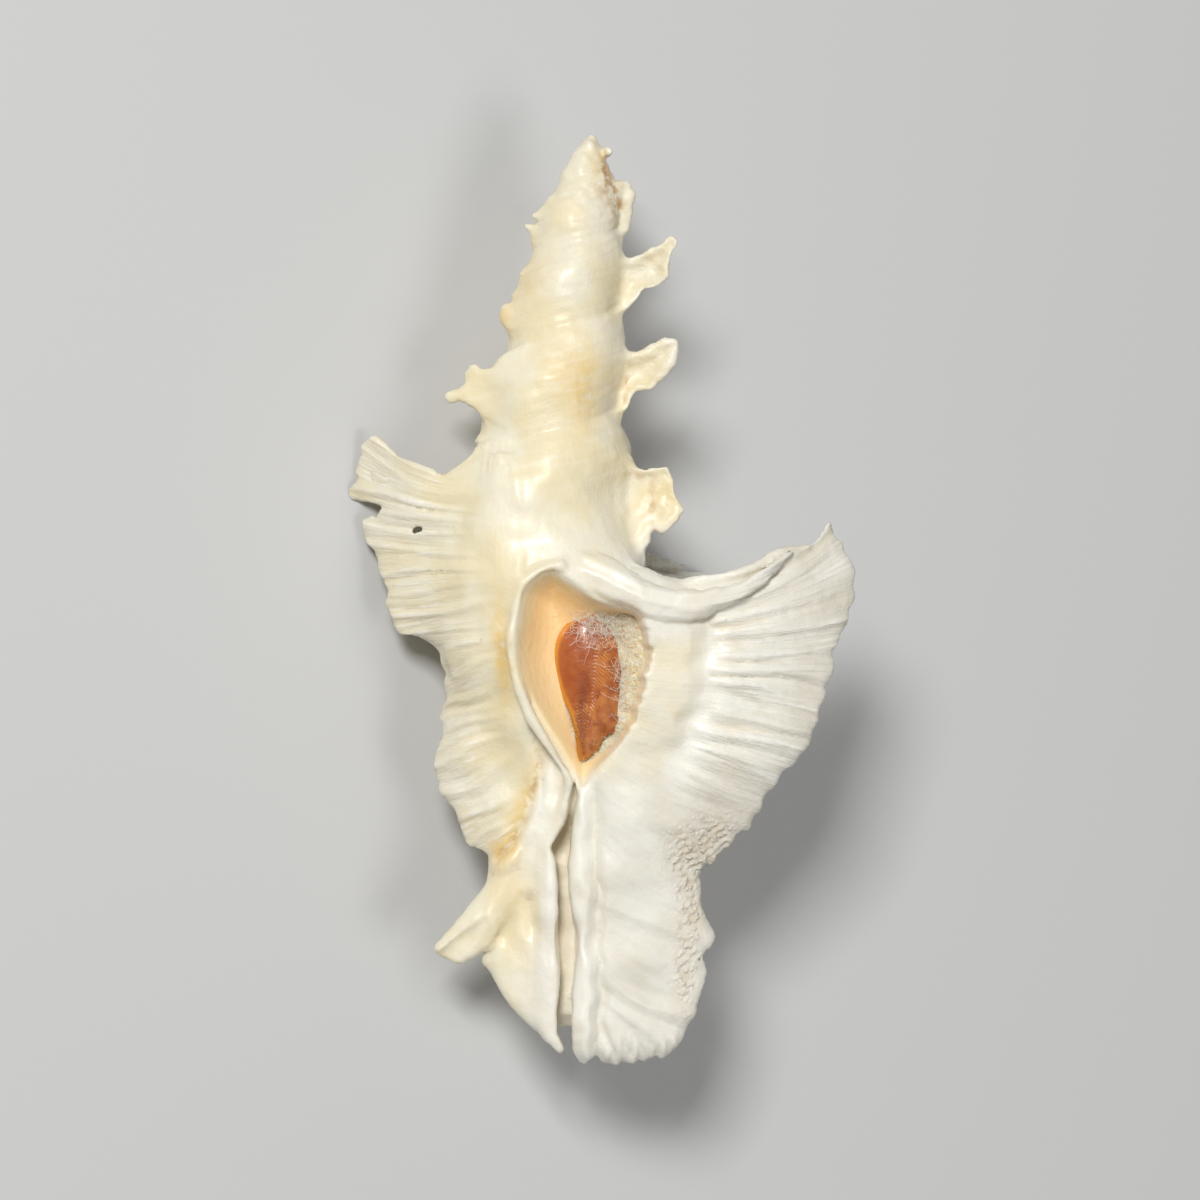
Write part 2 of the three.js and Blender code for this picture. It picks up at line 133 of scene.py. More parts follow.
def outline_distance(outline, a, b):
    """How far each point is inside a closed outline; outside it is negative."""
    nearest = np.full(np.broadcast(a, b).shape, 1e9)
    inside = np.zeros(nearest.shape, bool)
    for (xa, ya), (xb, yb) in zip(outline, np.roll(outline, -1, axis=0)):
        length = (xb - xa) ** 2 + (yb - ya) ** 2 + 1e-12
        t = np.clip(((a - xa) * (xb - xa) + (b - ya) * (yb - ya)) / length, 0, 1)
        away = (a - xa - t * (xb - xa)) ** 2 + (b - ya - t * (yb - ya)) ** 2
        nearest = np.minimum(nearest, away)
        crosses = ((ya > b) != (yb > b)) & (a < (xb - xa) * (b - ya) / (yb - ya + 1e-12) + xa)
        inside ^= crosses
    return np.where(inside, 1, -1) * np.sqrt(nearest)


def window(low_corner, high_corner):
    """The part of the grid between two corners."""
    return tuple(
        slice(max(0, int(np.searchsorted(g, a)) - 1), int(np.searchsorted(g, b)) + 1)
        for g, a, b in zip((grid_x, grid_y, grid_z), low_corner, high_corner)
    )


def join(where, added, soft):
    """Grows the shell by another form, with a fillet of about the width soft."""
    there = shell[where]
    h = np.clip(0.5 + 0.5 * (there - added) / soft, 0, 1)
    shell[where] = there * (1 - h) + added * h - soft * h * (1 - h)


def cut(where, removed, soft):
    """Takes a form out of the shell, with its edge rounded over about the width soft."""
    there = shell[where]
    h = np.clip(0.5 - 0.5 * (there + removed) / soft, 0, 1)
    shell[where] = there * (1 - h) - removed * h + soft * h * (1 - h)


def tube(points, radii, margin):
    """Where a tapering round line runs, and the distance from it."""
    line = curve(points, 6 * len(points))
    size = np.interp(np.linspace(0, 1, len(line)), np.linspace(0, 1, len(radii)), radii)
    where = window(line.min(0) - margin, line.max(0) + margin)
    px, py, pz = x[where[0]], y[:, where[1]], z[:, :, where[2]]
    nearest = np.full(np.broadcast(px, py, pz).shape, 1e9, np.float32)
    for a, b, ra, rb in zip(line[:-1], line[1:], size[:-1], size[1:]):
        d = b - a
        t = ((px - a[0]) * d[0] + (py - a[1]) * d[1] + (pz - a[2]) * d[2]) / (d @ d)
        t = np.clip(t, 0, 1)
        away = np.sqrt(
            (px - a[0] - t * d[0]) ** 2
            + (py - a[1] - t * d[1]) ** 2
            + (pz - a[2] - t * d[2]) ** 2
        )
        nearest = np.minimum(nearest, away - mix(ra, rb, t))
    return where, nearest


# ---- The wings ----
# At each third of a turn the animal stopped and threw its lip out into a thin fluted wing. The last three
# still stand whole: the lip's own on the right, the one before it at the back, and the one before that on
# the left. Each is drawn as its ribs, from root by middle to edge, with the height of its front face.
right_ribs = [
    [(3, 2.9, 6.4), (11, 2.2, 5.2), (19.9, 6.8, 1.6)],
    [(4, 0.3, 7.2), (12.5, 0.4, 5.0), (20.9, 4.9, 1.3)],
    [(4, -1.5, 7.6), (12.5, -1.3, 5.0), (22.0, 1.6, 1.4)],
    [(4, -3, 7.5), (12.5, -2.8, 5.0), (21.4, -1.2, 1.7)],
    [(4, -4.2, 7.4), (12, -4.2, 5.1), (20.5, -3.7, 2.1)],
    [(4, -5.6, 7.3), (12, -5.9, 5.1), (19.9, -6.3, 2.5)],
    [(3.8, -7, 7.2), (11.5, -7.7, 5.1), (19.2, -8.9, 2.7)],
    [(3.4, -8.4, 7.0), (11, -9.5, 5.1), (18.3, -11.3, 2.8)],
    [(2.8, -9.6, 6.6), (10.3, -11.6, 5.0), (17.2, -13.6, 2.8)],
    [(2, -10.8, 6.2), (9.2, -13.2, 4.8), (15.7, -15.6, 2.7)],
    [(1, -12, 5.8), (8, -15, 4.6), (14.1, -18.0, 2.6)],
    [(0, -13.5, 5.3), (6.5, -17, 4.5), (12.5, -20.1, 2.4)],
    [(-0.8, -15.5, 4.9), (5.3, -19.5, 4.4), (10.2, -22.1, 2.2)],
    [(-1.2, -18, 4.6), (4.3, -21.7, 4.2), (8.7, -24.2, 2.0)],
    [(-1.4, -21, 4.3), (4, -24.8, 3.9), (9.0, -27.0, 1.8)],
    [(-1.4, -24, 4.1), (4, -28, 3.6), (9.7, -29.5, 1.5)],
    [(-1.3, -27, 3.9), (3.8, -31, 3.3), (9.1, -33.2, 1.3)],
    [(-1.3, -30, 3.7), (3.2, -33.8, 3.1), (7.9, -36.2, 1.2)],
    [(-1.3, -32.5, 3.5), (2.6, -36, 2.9), (6.2, -38.7, 1.2)],
    [(-1.4, -34.5, 3.4), (1.4, -37.4, 2.8), (3.2, -39.9, 1.4)],
    [(-1.6, -36, 3.2), (0, -38.2, 2.8), (0.6, -40.0, 1.7)],
    [(-2.2, -37, 3.1), (-2.2, -38.6, 2.7), (-2.0, -39.8, 2.1)],
]
left_ribs = [
    [(-8, 11.6, 5.4), (-13, 10.7, 2.6), (-19.7, 14.0, -0.4)],
    [(-8, 9.8, 6.0), (-14, 9.4, 2.4), (-20.8, 12.6, -0.8)],
    [(-7.5, 8, 6.4), (-14, 8.0, 2.4), (-21.6, 9.9, -1.0)],
    [(-7, 6.6, 6.6), (-14, 6.9, 2.5), (-20.7, 8.5, -0.9)],
    [(-7, 5.4, 6.7), (-13.8, 5.6, 2.6), (-20.3, 6.3, -0.8)],
    [(-7, 4.0, 6.7), (-13.5, 4.2, 2.7), (-19.9, 4.4, -0.6)],
    [(-7, 2.8, 6.7), (-13.2, 2.7, 2.8), (-19.3, 2.4, -0.3)],
    [(-7, 1.6, 6.6), (-12.8, 1.0, 2.9), (-18.8, 0.6, 0.0)],
    [(-7, 0.2, 6.4), (-12.4, -0.7, 3.0), (-18.2, -1.6, 0.3)],
    [(-7, -1.4, 6.2), (-11.8, -2.2, 3.2), (-16.6, -3.2, 0.8)],
    [(-7, -3, 6.0), (-11, -3.8, 3.5), (-13.4, -4.4, 1.7)],
    [(-7, -4.8, 5.8), (-10.4, -5.8, 3.7), (-12.8, -6.6, 2.0)],
    [(-7, -6.8, 5.5), (-10.6, -7.8, 3.6), (-13.4, -9, 1.8)],
    [(-6.6, -8.8, 5.2), (-10.4, -10.2, 3.4), (-13.8, -11.6, 1.5)],
    [(-6, -10.8, 4.9), (-10.2, -12.6, 3.1), (-14.3, -14.2, 1.2)],
    [(-5.4, -12.6, 4.6), (-9.6, -15, 2.9), (-13.7, -16.6, 1.1)],
    [(-5, -14.4, 4.3), (-9, -17.2, 2.8), (-12.4, -19.1, 1.1)],
    [(-4.8, -16.4, 4.1), (-8, -19.3, 2.9), (-11.2, -21.2, 1.4)],
    [(-4.8, -18.6, 4.0), (-7.2, -20.8, 3.1), (-9.5, -22.3, 2.2)],
]
# The outlines of the two wings that face forward, worn, torn and scalloped, from the spire's side round.
right_outline = [
    (1.0, 1.0), (2.5, 2.6), (4.0, 2.7), (5.3, 2.0), (7.0, 1.5), (8.1, 1.9), (9.3, 2.05), (11.0, 2.2),
    (12.0, 2.6), (13.5, 3.3), (14.3, 4.0), (15.5, 4.4), (17.0, 4.6), (17.8, 4.7), (18.6, 5.3), (19.3, 6.3),
    (19.9, 6.8), (20.4, 5.5), (20.9, 5.0), (21.0, 4.1), (21.5, 3.3), (21.9, 2.3), (21.95, 1.2),
    (22.05, 0.3), (21.5, -0.9), (21.35, -1.8), (20.7, -2.9), (20.6, -3.6), (19.95, -4.5), (20.1, -5.6),
    (19.8, -6.6), (19.4, -7.3), (19.4, -8.3), (18.8, -9.3), (18.7, -10.4), (18.1, -11.3), (17.9, -12.4),
    (17.0, -13.4), (16.6, -14.2), (15.8, -14.7), (15.2, -16.0), (14.3, -16.9), (14.0, -18.0),
    (13.2, -18.8), (12.9, -19.8), (12.0, -20.1), (11.3, -21.1), (10.4, -21.6), (9.8, -22.5), (9.0, -22.8),
    (8.6, -23.6), (8.75, -24.7), (8.6, -26.0), (9.1, -27.3), (10.0, -28.8), (9.7, -29.7), (8.9, -30.6),
    (9.2, -31.7), (9.1, -32.8), (8.2, -34.7), (8.0, -35.6), (7.5, -36.3), (6.9, -37.9), (6.3, -38.4),
    (5.7, -39.4), (4.4, -39.5), (3.0, -39.95), (1.9, -39.8), (1.0, -40.1), (0.2, -39.9), (-0.4, -39.3),
    (-1.3, -40.05), (-2.1, -39.4), (-2.65, -37.2), (-2.2, -33.0), (-2.2, -30.0), (-2.7, -25.0),
    (-2.8, -23.0), (-2.4, -18.5), (-2.3, -15.0), (-1.6, -12.0), (1.8, -9.5), (3.2, -5.0), (2.6, -1.5),
    (1.0, 1.0),
]
left_outline = [
    (-6.4, 12.2), (-9.8, 12.9), (-10.9, 12.2), (-12.0, 11.2), (-13.4, 10.55), (-14.5, 11.1), (-16.0, 11.9),
    (-17.2, 12.5), (-18.0, 13.2), (-19.0, 13.9), (-19.6, 14.1), (-20.0, 13.9), (-20.6, 13.45),
    (-20.8, 13.1), (-20.7, 12.6), (-21.05, 12.0), (-21.3, 11.1), (-21.2, 10.4), (-22.0, 9.4), (-21.7, 8.8),
    (-20.8, 8.6), (-20.0, 8.4), (-19.0, 8.05), (-19.2, 7.5), (-19.3, 7.05), (-19.7, 7.25), (-20.3, 7.0),
    (-20.6, 6.6), (-20.4, 5.3), (-20.0, 4.6), (-19.5, 4.2), (-19.3, 2.9), (-18.8, 1.6), (-18.3, 0.6),
    (-18.5, -0.4), (-18.0, -1.4), (-17.7, -2.6), (-17.3, -3.0), (-16.0, -3.2), (-15.0, -3.6),
    (-13.6, -4.0), (-13.2, -4.4), (-13.1, -5.2), (-12.85, -6.2), (-12.6, -6.65), (-13.2, -6.9),
    (-13.4, -7.4), (-13.25, -8.3), (-13.7, -9.3), (-13.85, -10.3), (-13.6, -11.3), (-13.9, -12.3),
    (-14.4, -14.1), (-14.1, -15.0), (-13.8, -16.5), (-13.2, -17.2), (-12.5, -18.2), (-12.0, -20.0),
    (-11.4, -21.2), (-10.6, -21.4), (-9.7, -21.9), (-9.4, -22.5), (-8.5, -23.2), (-6.0, -21.0),
    (-5.0, -16.0), (-6.0, -10.0), (-6.5, 0.0), (-6.2, 5.0), (-6.2, 10.0), (-6.4, 12.2),
]
# The back wing's places are out from the axis, along the shell, and off its own plane.
back_azimuth = math.radians(36)
back_ribs = [
    [(5, 6.5, 0.5), (12, 3.4, 1.4), (18.6, 3.1, 1.9)],
    [(5.4, 5, 0.5), (13.4, 2.8, 1.4), (23.2, 2.0, 1.6)],
    [(5.5, 3, 0.5), (14, 1.0, 1.4), (22.3, -1.4, 1.3)],
    [(5.5, 1.2, 0.5), (14, -1.2, 1.3), (21.8, -4.2, 1.0)],
    [(5.5, -0.8, 0.5), (13.8, -3.6, 1.2), (21.9, -7.4, 0.7)],
    [(5.2, -2.8, 0.5), (13.2, -6, 1.2), (21.4, -10.2, 0.5)],
    [(4.8, -5, 0.5), (12.2, -8.8, 1.1), (19.2, -13, 0.4)],
    [(4.2, -7.4, 0.5), (11.2, -11.6, 1.1), (17.4, -15.6, 0.4)],
    [(3.6, -10, 0.5), (9.6, -14.2, 1.0), (15.4, -18, 0.4)],
    [(2.6, -12.8, 0.5), (8.2, -17, 1.0), (13.2, -20.6, 0.4)],
    [(1.8, -15.8, 0.5), (6.4, -19.8, 0.9), (10.6, -23.2, 0.4)],
    [(1, -19, 0.5), (4.6, -23, 0.8), (8.0, -26.2, 0.4)],
    [(0.4, -22.4, 0.4), (3, -26, 0.6), (5.6, -28.6, 0.4)],
]


def on_grid(values, a_at, b_at, shape):
    """Averages scattered values on to a flat grid, and spreads them over its empty cells."""
    total = np.zeros(shape)
    count = np.zeros(shape)
    kept = (a_at >= 0) & (b_at >= 0) & (a_at < shape[0]) & (b_at < shape[1])
    np.add.at(total, (a_at[kept], b_at[kept]), values[kept])
    np.add.at(count, (a_at[kept], b_at[kept]), 1)
    for _ in range(int(6 / cell)):
        empty = count == 0
        spread_total = np.zeros(shape)
        spread_count = np.zeros(shape)
        mean = np.where(empty, 0, total / np.maximum(count, 1))
        for axis in (0, 1):
            for way in (1, -1):
                spread_total += np.roll(mean, way, axis)
                spread_count += np.roll(~empty, way, axis)
        filled = empty & (spread_count > 0)
        total[filled] = spread_total[filled] / spread_count[filled]
        count[filled] = 1
    return total / np.maximum(count, 1)


class Wing:
    """A wing's flat maps: distance inside its outline, front height, and place along and across its ribs."""

    def __init__(self, ribs, a_range, b_range, outline=None):
        root, middle, edge = (curve([r[k] for r in ribs], 1400)[:, None, :] for k in range(3))
        v = np.linspace(-0.05, 1.12, 160)[None, :, None]
        at = (root * (1 - v) * (1 - 2 * v) + middle * 4 * v * (1 - v) + edge * v * (2 * v - 1))
        self.ribs = len(ribs) - 1
        self.a = np.arange(*a_range, cell)
        self.b = np.arange(*b_range, cell)
        shape = (len(self.a), len(self.b))
        a_at = np.round((at[..., 0] - a_range[0]) / cell).astype(int)
        b_at = np.round((at[..., 1] - b_range[0]) / cell).astype(int)
        u = np.broadcast_to(np.linspace(0, self.ribs, 1400)[:, None], a_at.shape)
        self.front = on_grid(at[..., 2], a_at, b_at, shape)
        self.u = on_grid(u, a_at, b_at, shape)
        self.v = on_grid(np.broadcast_to(v[..., 0], a_at.shape), a_at, b_at, shape)
        if outline:
            rim = curve(outline, 5 * len(outline))
        else:
            rim = np.vstack([edge[::6, 0, :2], root[::-12, 0, :2]])
        self.inside = outline_distance(rim, self.a[:, None], self.b[None, :])
        if not outline:
            self.inside += 0.2 * step(0.55, 0.85, self.v) * np.cos(2 * np.pi * self.u)

    def look(self, table, a, b):
        """Reads one of its maps at any places."""
        fa = np.clip((a - self.a[0]) / cell, 0, len(self.a) - 1.001)
        fb = np.clip((b - self.b[0]) / cell, 0, len(self.b) - 1.001)
        i, j = fa.astype(int), fb.astype(int)
        fa, fb = fa - i, fb - j
        return (
            table[i, j] * (1 - fa) * (1 - fb)
            + table[i + 1, j] * fa * (1 - fb)
            + table[i, j + 1] * (1 - fa) * fb
            + table[i + 1, j + 1] * fa * fb
        )

    def read_all(self, a, b):
        """Rib number, share of the way out, distance inside the outline and front height, at any places."""
        return [self.look(table, a, b) for table in (self.u, self.v, self.inside, self.front)]


def leaf(inside, off, thickness):
    """The distance from a leaf of shell, off being how far a place is in front of its front face."""
    taper = np.sqrt(np.clip(1 - (1 - np.clip(inside / 0.9, 0, 1)) ** 2, 0, 1))
    half = thickness / 2 * (0.25 + 0.75 * taper)
    away = np.abs(off + thickness / 2)
    return np.where(inside > 0, away - half, np.hypot(inside, away) - 0.25 * half)


def front_leaf(inside, front, thickness, first_x, first_y, depth=(-4, 10.6)):
    """A leaf that faces forward, from maps over x and y whose first corner is given."""
    where = window(
        (first_x, first_y, depth[0]),
        (first_x + (inside.shape[0] - 2) * cell, first_y + (inside.shape[1] - 2) * cell, depth[1]),
    )
    size = (where[0].stop - where[0].start, where[1].stop - where[1].start)
    i0 = int(round((grid_x[where[0].start] - first_x) / cell))
    j0 = int(round((grid_y[where[1].start] - first_y) / cell))
    i = np.clip(np.arange(size[0]) + i0, 0, inside.shape[0] - 1)[:, None]
    j = np.clip(np.arange(size[1]) + j0, 0, inside.shape[1] - 1)[None, :]
    slope_x, slope_y = np.gradient(front, cell)
    steep = 1 / np.sqrt(1 + np.clip(slope_x**2 + slope_y**2, 0, 3))
    off = (z[:, :, where[2]] - front[i, j][..., None]) * steep[i, j][..., None]
    made = leaf(inside[i, j][..., None], off, thickness[i, j][..., None])
    return where, made.astype(np.float32)


# The mouth's outline is needed first, because the lip's flange follows it.
mouth = curve(
    [
        (-4.0, 2.6), (-5.2, 2.1), (-6.4, 0.9), (-7.0, -1.6), (-7.3, -4.6), (-6.7, -7.6), (-5.6, -10.2),
        (-3.9, -12.9), (-2.4, -15.0), (-1.6, -15.9), (-0.6, -15.0), (0.9, -13.4), (2.5, -11.5),
        (3.5, -8.9), (4.0, -6.6), (4.4, -4.4), (4.0, -2.4), (3.1, -0.8), (0.0, 0.0), (-2.2, 1.4),
        (-4.0, 2.6),
    ],
    200,
)
toothed = step(1.0, 3.0, mouth[:, 0]) * step(-0.8, -2.0, mouth[:, 1])
teeth = np.sin(mouth[:, 1] * 7.1) + np.sin(mouth[:, 1] * 4.3 + 1) + np.sin(mouth[:, 1] * 2.3)
mouth[:, 0] += 0.09 * toothed * teeth

right_wing = Wing(right_ribs, (-4.0, 23.4), (-41.4, 8.2), right_outline)
left_wing = Wing(left_ribs, (-23.0, -3.0), (-24.0, 15.4), left_outline)
back_wing = Wing(back_ribs, (0.0, 24.6), (-30.4, 8.4))

from_mouth = -outline_distance(mouth, right_wing.a[:, None], right_wing.b[None, :])
waver = 0.35 * np.sin(right_wing.u * 1.7) + 0.2 * np.sin(right_wing.u * 4.1 + 1)
flange = 1 - step(2.4, 5.2, from_mouth + waver)
upper = step(-16, -11, right_wing.b)[None, :]
groove = np.exp(-(((from_mouth + waver - 4.8) / 1.0) ** 2)) * upper
right_wing.front += 0.4 * flange * upper - 0.3 * groove
right_wing.front += 0.45 * step(4.3, 7.0, from_mouth + waver) * (1 - right_wing.v) * upper
swell = np.exp(-(((right_wing.a - 3.0) / 3.0) ** 2)[:, None] - (((right_wing.b + 19) / 4.0) ** 2)[None, :])
right_wing.front += 0.7 * swell
wavy = 0.18 * np.sin(right_wing.b * 0.8) + 0.12 * np.sin(right_wing.b * 2.1 + 1) + 0.03 * (right_wing.b + 26)
canal_rim = np.exp(-(((right_wing.a[:, None] + 1.5 + wavy[None, :]) / 0.7) ** 2))
canal_groove = np.exp(-(((right_wing.a[:, None] + 0.2 + wavy[None, :]) / 0.45) ** 2))
beside_canal = (step(-15, -18, right_wing.b))[None, :]
right_wing.front += (0.65 * canal_rim - 0.5 * canal_groove) * beside_canal
right_thick = mix(2.6, 0.75, step(-0.1, 0.45, right_wing.v))
right_thick = np.where(flange * upper > 0, mix(right_thick, 3.4, flange * upper), right_thick)
join(*front_leaf(right_wing.inside, right_wing.front, right_thick, right_wing.a[0], right_wing.b[0]), 1.2)

left_wing.front -= 3.5 * step(-8.8, -5.4, left_wing.a)[:, None] * step(2.0, 5.0, left_wing.b)[None, :]
left_thick = mix(2.6, 0.7, step(-0.1, 0.6, left_wing.v))
join(*front_leaf(left_wing.inside, left_wing.front, left_thick, left_wing.a[0], left_wing.b[0]), 2.8)

where = window((-6, -31, -21), (12, 9, 2))
side_x = x[where[0]] - float(axis_x(3.0))
side_z = z[:, :, where[2]]
out = side_x * math.sin(back_azimuth) - side_z * math.cos(back_azimuth)
off = side_x * math.cos(back_azimuth) + side_z * math.sin(back_azimuth)
shape = np.broadcast(out, y[:, where[1]]).shape
out, off = np.broadcast_to(out, shape), np.broadcast_to(off, shape)
along = np.broadcast_to(y[:, where[1]], shape)
back_thick = mix(2.2, 0.75, step(-0.1, 0.5, back_wing.v))
made = leaf(
    back_wing.look(back_wing.inside, out, along),
    off - back_wing.look(back_wing.front, out, along),
    back_wing.look(back_thick, out, along),
)
join(where, made.astype(np.float32), 1.6)


# ---- The spire's spines ----
# Where the older wings stood on the spire only their tips are left: hollow scoops that face forward on the
# right, and short frills on the left and the back. They are chalky and worn.
def grid_lines(low_x, high_x, low_y, high_y):
    """The grid's own x and y between two corners, for a flat map that lines up with it."""
    a = np.arange(low_x, high_x, cell)
    b = np.arange(low_y, high_y, cell)
    a = grid_x[0] + np.round((a - grid_x[0]) / cell) * cell
    b = grid_y[0] + np.round((b - grid_y[0]) / cell) * cell
    return a, b


def blade(outline, level, slope, level_x, thickness, hollow, soft, ragged=0.12):
    """A forward-facing blade, its front at level where x is level_x, dished by hollow and worn ragged."""
    ring = curve(outline + [outline[0]], 8 * len(outline))
    low, high = ring.min(0) - 1.2, ring.max(0) + 1.2
    a, b = grid_lines(low[0], high[0], low[1], high[1])
    inside = outline_distance(ring, a[:, None], b[None, :])
    inside += ragged * np.sin(2.9 * a + 1.7)[:, None] * np.cos(3.7 * b)[None, :]
    face = level + slope * (a[:, None] - level_x) - hollow * step(0.15, 1.3, inside)
    join(*front_leaf(inside, face, np.full(inside.shape, thickness), a[0], b[0]), soft)


for scoop in (
    (
        [
            (0.2, 34.4), (0.95, 35.2), (1.6, 35.9), (2.3, 36.2), (2.8, 35.4), (2.7, 33.4), (2.2, 31.4),
            (0.4, 31),
        ],
        0.9, -0.1, 0, 0.8, 0.4, 0.9,
    ),
    (
        [
            (1, 29.4), (2.5, 29.5), (4.5, 30.4), (5.3, 30.9), (6.2, 31.6), (6.7, 30.9), (6, 29),
            (5.9, 28), (5.4, 27.1), (3.9, 26.6), (2.8, 25.4), (1, 24.4),
        ],
        0.9, 0.12, 2, 0.8, 0.6, 1.2,
    ),
    (
        [
            (0.8, 21.4), (2.3, 21.2), (3.5, 21.4), (5.4, 22.5), (6.4, 22.4), (6.7, 21.4), (6, 19.9),
            (5, 18.7), (4.2, 18), (3.1, 17.9), (2.2, 16.2), (0.8, 16.2),
        ],
        1.2, 0.12, 2, 0.85, 0.7, 1.2,
    ),
    (
        [
            (1.4, 12.4), (2.8, 12), (3.6, 11.4), (5.8, 11.5), (6.5, 10), (6.8, 8.6), (7.2, 7.7),
            (6.4, 6.5), (5.6, 5.9), (4.6, 5.9), (3.9, 4.2), (3.2, 2.8), (1.4, 3),
        ],
        2.6, -0.1, 2, 0.9, 0.5, 1.3,
    ),
    (
        [
            (-4.2, 34.4), (-5, 33.7), (-5.9, 33.1), (-5.3, 32.5), (-6.5, 32.3), (-6.1, 31.4),
            (-5.8, 30.5), (-4.4, 30),
        ],
        1.6, 0.2, -5, 0.8, 0, 0.8, 0.08,
    ),
    (
        [(-5, 30), (-6.3, 28.8), (-7.05, 28.2), (-6.9, 27.3), (-7.4, 26), (-5.5, 25)],
        1.8, 0.2, -5, 0.9, 0, 0.9, 0.08,
    ),
    (
        [(-6, 26), (-7.3, 25.3), (-8.1, 25.4), (-8.45, 24.7), (-8.3, 23.8), (-7.7, 23.3), (-6, 23)],
        2.2, 0.2, -6, 1.0, 0, 0.9, 0.05,
    ),
    (
        [
            (-6.4, 21.8), (-8.4, 20.9), (-9.2, 20), (-10.1, 19.9), (-10.9, 20.3), (-11.5, 19.8),
            (-11.7, 18.8), (-12.2, 18.1), (-13, 18), (-13.4, 17.6), (-12.9, 17.2), (-11.8, 17.1),
            (-10.8, 16.5), (-9.6, 15.4), (-7, 14.6),
        ],
        3.6, 0.42, -8, 0.9, 0, 1.3, 0.08,
    ),
):
    blade(*scoop)
for knob_x, knob_y, size in (
    (-1.2, 39.1, 0.35), (-2.1, 38.0, 0.4), (-3.0, 36.6, 0.5), (-3.5, 35.1, 0.5), (0.35, 38.7, 0.4),
):
    join(*tube([(knob_x + 0.4, knob_y, 0.9), (knob_x + 0.1, knob_y - 0.1, -0.6)], (size, size), 1.5), 0.5)
for height, reach, size in ((31, 6, 0.9), (24, 8.6, 1.1), (15, 11.6, 1.4)):
    root_x = float(axis_x(height))
    lean = math.radians(24)
    join(
        *tube(
            [
                (root_x + 0.5, height - 2.6 * size, -2),
                (root_x + 0.6 * reach * math.sin(lean), height - 0.8 * size, -0.6 * reach),
                (root_x + reach * math.sin(lean), height + 1.0 * size, -reach),
            ],
            (1.7 * size, 1.0 * size, 0.35 * size),
            2.5,
        ),
        1.2,
    )


# ---- The folded lamella, the canal's plates and the old canal ----
# The lip's top edge is folded back over the wing as a bright rounded band. Below the mouth the canal runs
# down between two plates, and the canal of the wing before still juts out on the left as a spur.
band = curve(
    [
        (-4.4, 3.0), (-3.2, 2.3), (-1.6, 1.1), (0.2, 0.0), (2.2, -0.5), (3.4, -1.3), (5.0, -1.8),
        (7.0, -1.9), (8.8, -1.6), (10.2, -1.0), (11.6, -0.3), (13.0, 0.5), (14.2, 1.3), (15.4, 2.6),
        (16.8, 4.3), (15.4, 3.9), (13.6, 2.7), (12.0, 1.7), (10.0, 1.1), (8.0, 0.8), (6.0, 1.0),
        (4.0, 1.8), (1.8, 3.0), (-0.6, 4.2), (-3.0, 4.6), (-4.4, 3.0),
    ],
    240,
)
a, b = grid_lines(-6.0, 18.2, -3.4, 6.2)
inside = outline_distance(band, a[:, None], b[None, :])
inside += 0.1 * np.sin(a * 2.7)[:, None] * np.sin(b * 2.1 + a[0])[None, :] * (a > 4)[:, None]
crown = np.interp(a, (-4, 0, 3.5, 7, 10, 13, 17), (7.5, 8.4, 9.0, 8.4, 7.5, 6.3, 4.2))[:, None]
swept = np.interp(a, (-4, 0, 4, 8, 12, 17), (3.0, 1.6, 0.0, -0.5, 0.7, 3.9))[:, None]
face = crown - 0.16 * (b[None, :] - swept) ** 2 + 0.06 * np.sin((b[None, :] - swept) * 5 + 0.4 * a[:, None])
thick = np.broadcast_to(np.interp(a, (-4, 4, 12, 17), (2.2, 1.7, 1.1, 0.6))[:, None], inside.shape)
join(*front_leaf(inside, face, thick, a[0], b[0]), 0.25)
cut(
    *tube(
        [(3.0, 2.3, 7.6), (6, 1.35, 6.9), (9, 1.45, 6.2), (12.0, 2.15, 5.5), (14.6, 3.4, 4.6)],
        (0.2, 0.42, 0.5, 0.42, 0.2),
        2,
    ),
    0.4,
)
join(
    *tube(
        [
            (6.5, 1.3, 5.2), (9.0, 1.5, 5.2), (11.6, 2.0, 4.8),
            (13.8, 3.1, 4.1), (15.8, 4.05, 3.3), (17.8, 4.5, 2.6),
        ],
        (0.25, 0.4, 0.5, 0.55, 0.45, 0.25),
        2,
    ),
    0.5,
)
canal_plate = curve(
    [
        (-2.9, -13.4), (-4.5, -13.4), (-5.2, -16.6), (-6.3, -19.4), (-8.4, -21.8), (-9.3, -23.2),
        (-9.4, -25.2), (-9.6, -28.5), (-10.2, -31), (-9.5, -32), (-8.2, -34.3), (-6.3, -36.4),
        (-4.4, -38.0), (-3.3, -38.8), (-3.0, -37), (-3.0, -30), (-3.2, -22), (-2.4, -16),
    ],
    160,
)
a, b = grid_lines(-11.2, -1.6, -40.0, -11.8)
inside = outline_distance(canal_plate, a[:, None], b[None, :])
face = 4.2 - 0.016 * np.maximum(-14 - b, 0)[None, :] ** 1.2 + 0.28 * (a[:, None] + 4)
face += 0.35 * np.exp(-(((a[:, None] + 4.6) / 0.8) ** 2)) * step(-13, -15, b)[None, :]
face -= 0.7 * np.exp(-(((a[:, None] + 6.4 + 0.18 * (b[None, :] + 24)) / 0.7) ** 2)) * (
    step(-24.5, -26, b) * step(-31, -27.5, b)
)[None, :]
join(*front_leaf(inside, face, np.full(inside.shape, 1.5), a[0], b[0]), 0.8)
join(
    *tube(
        [(-7.3, -20.6, 1.6), (-7.9, -24.2, 2.0), (-10.0, -27.2, 2.2), (-12.6, -29.7, 2.0)],
        (1.8, 1.9, 1.6, 1.2),
        2.6,
    ),
    1.0,
)
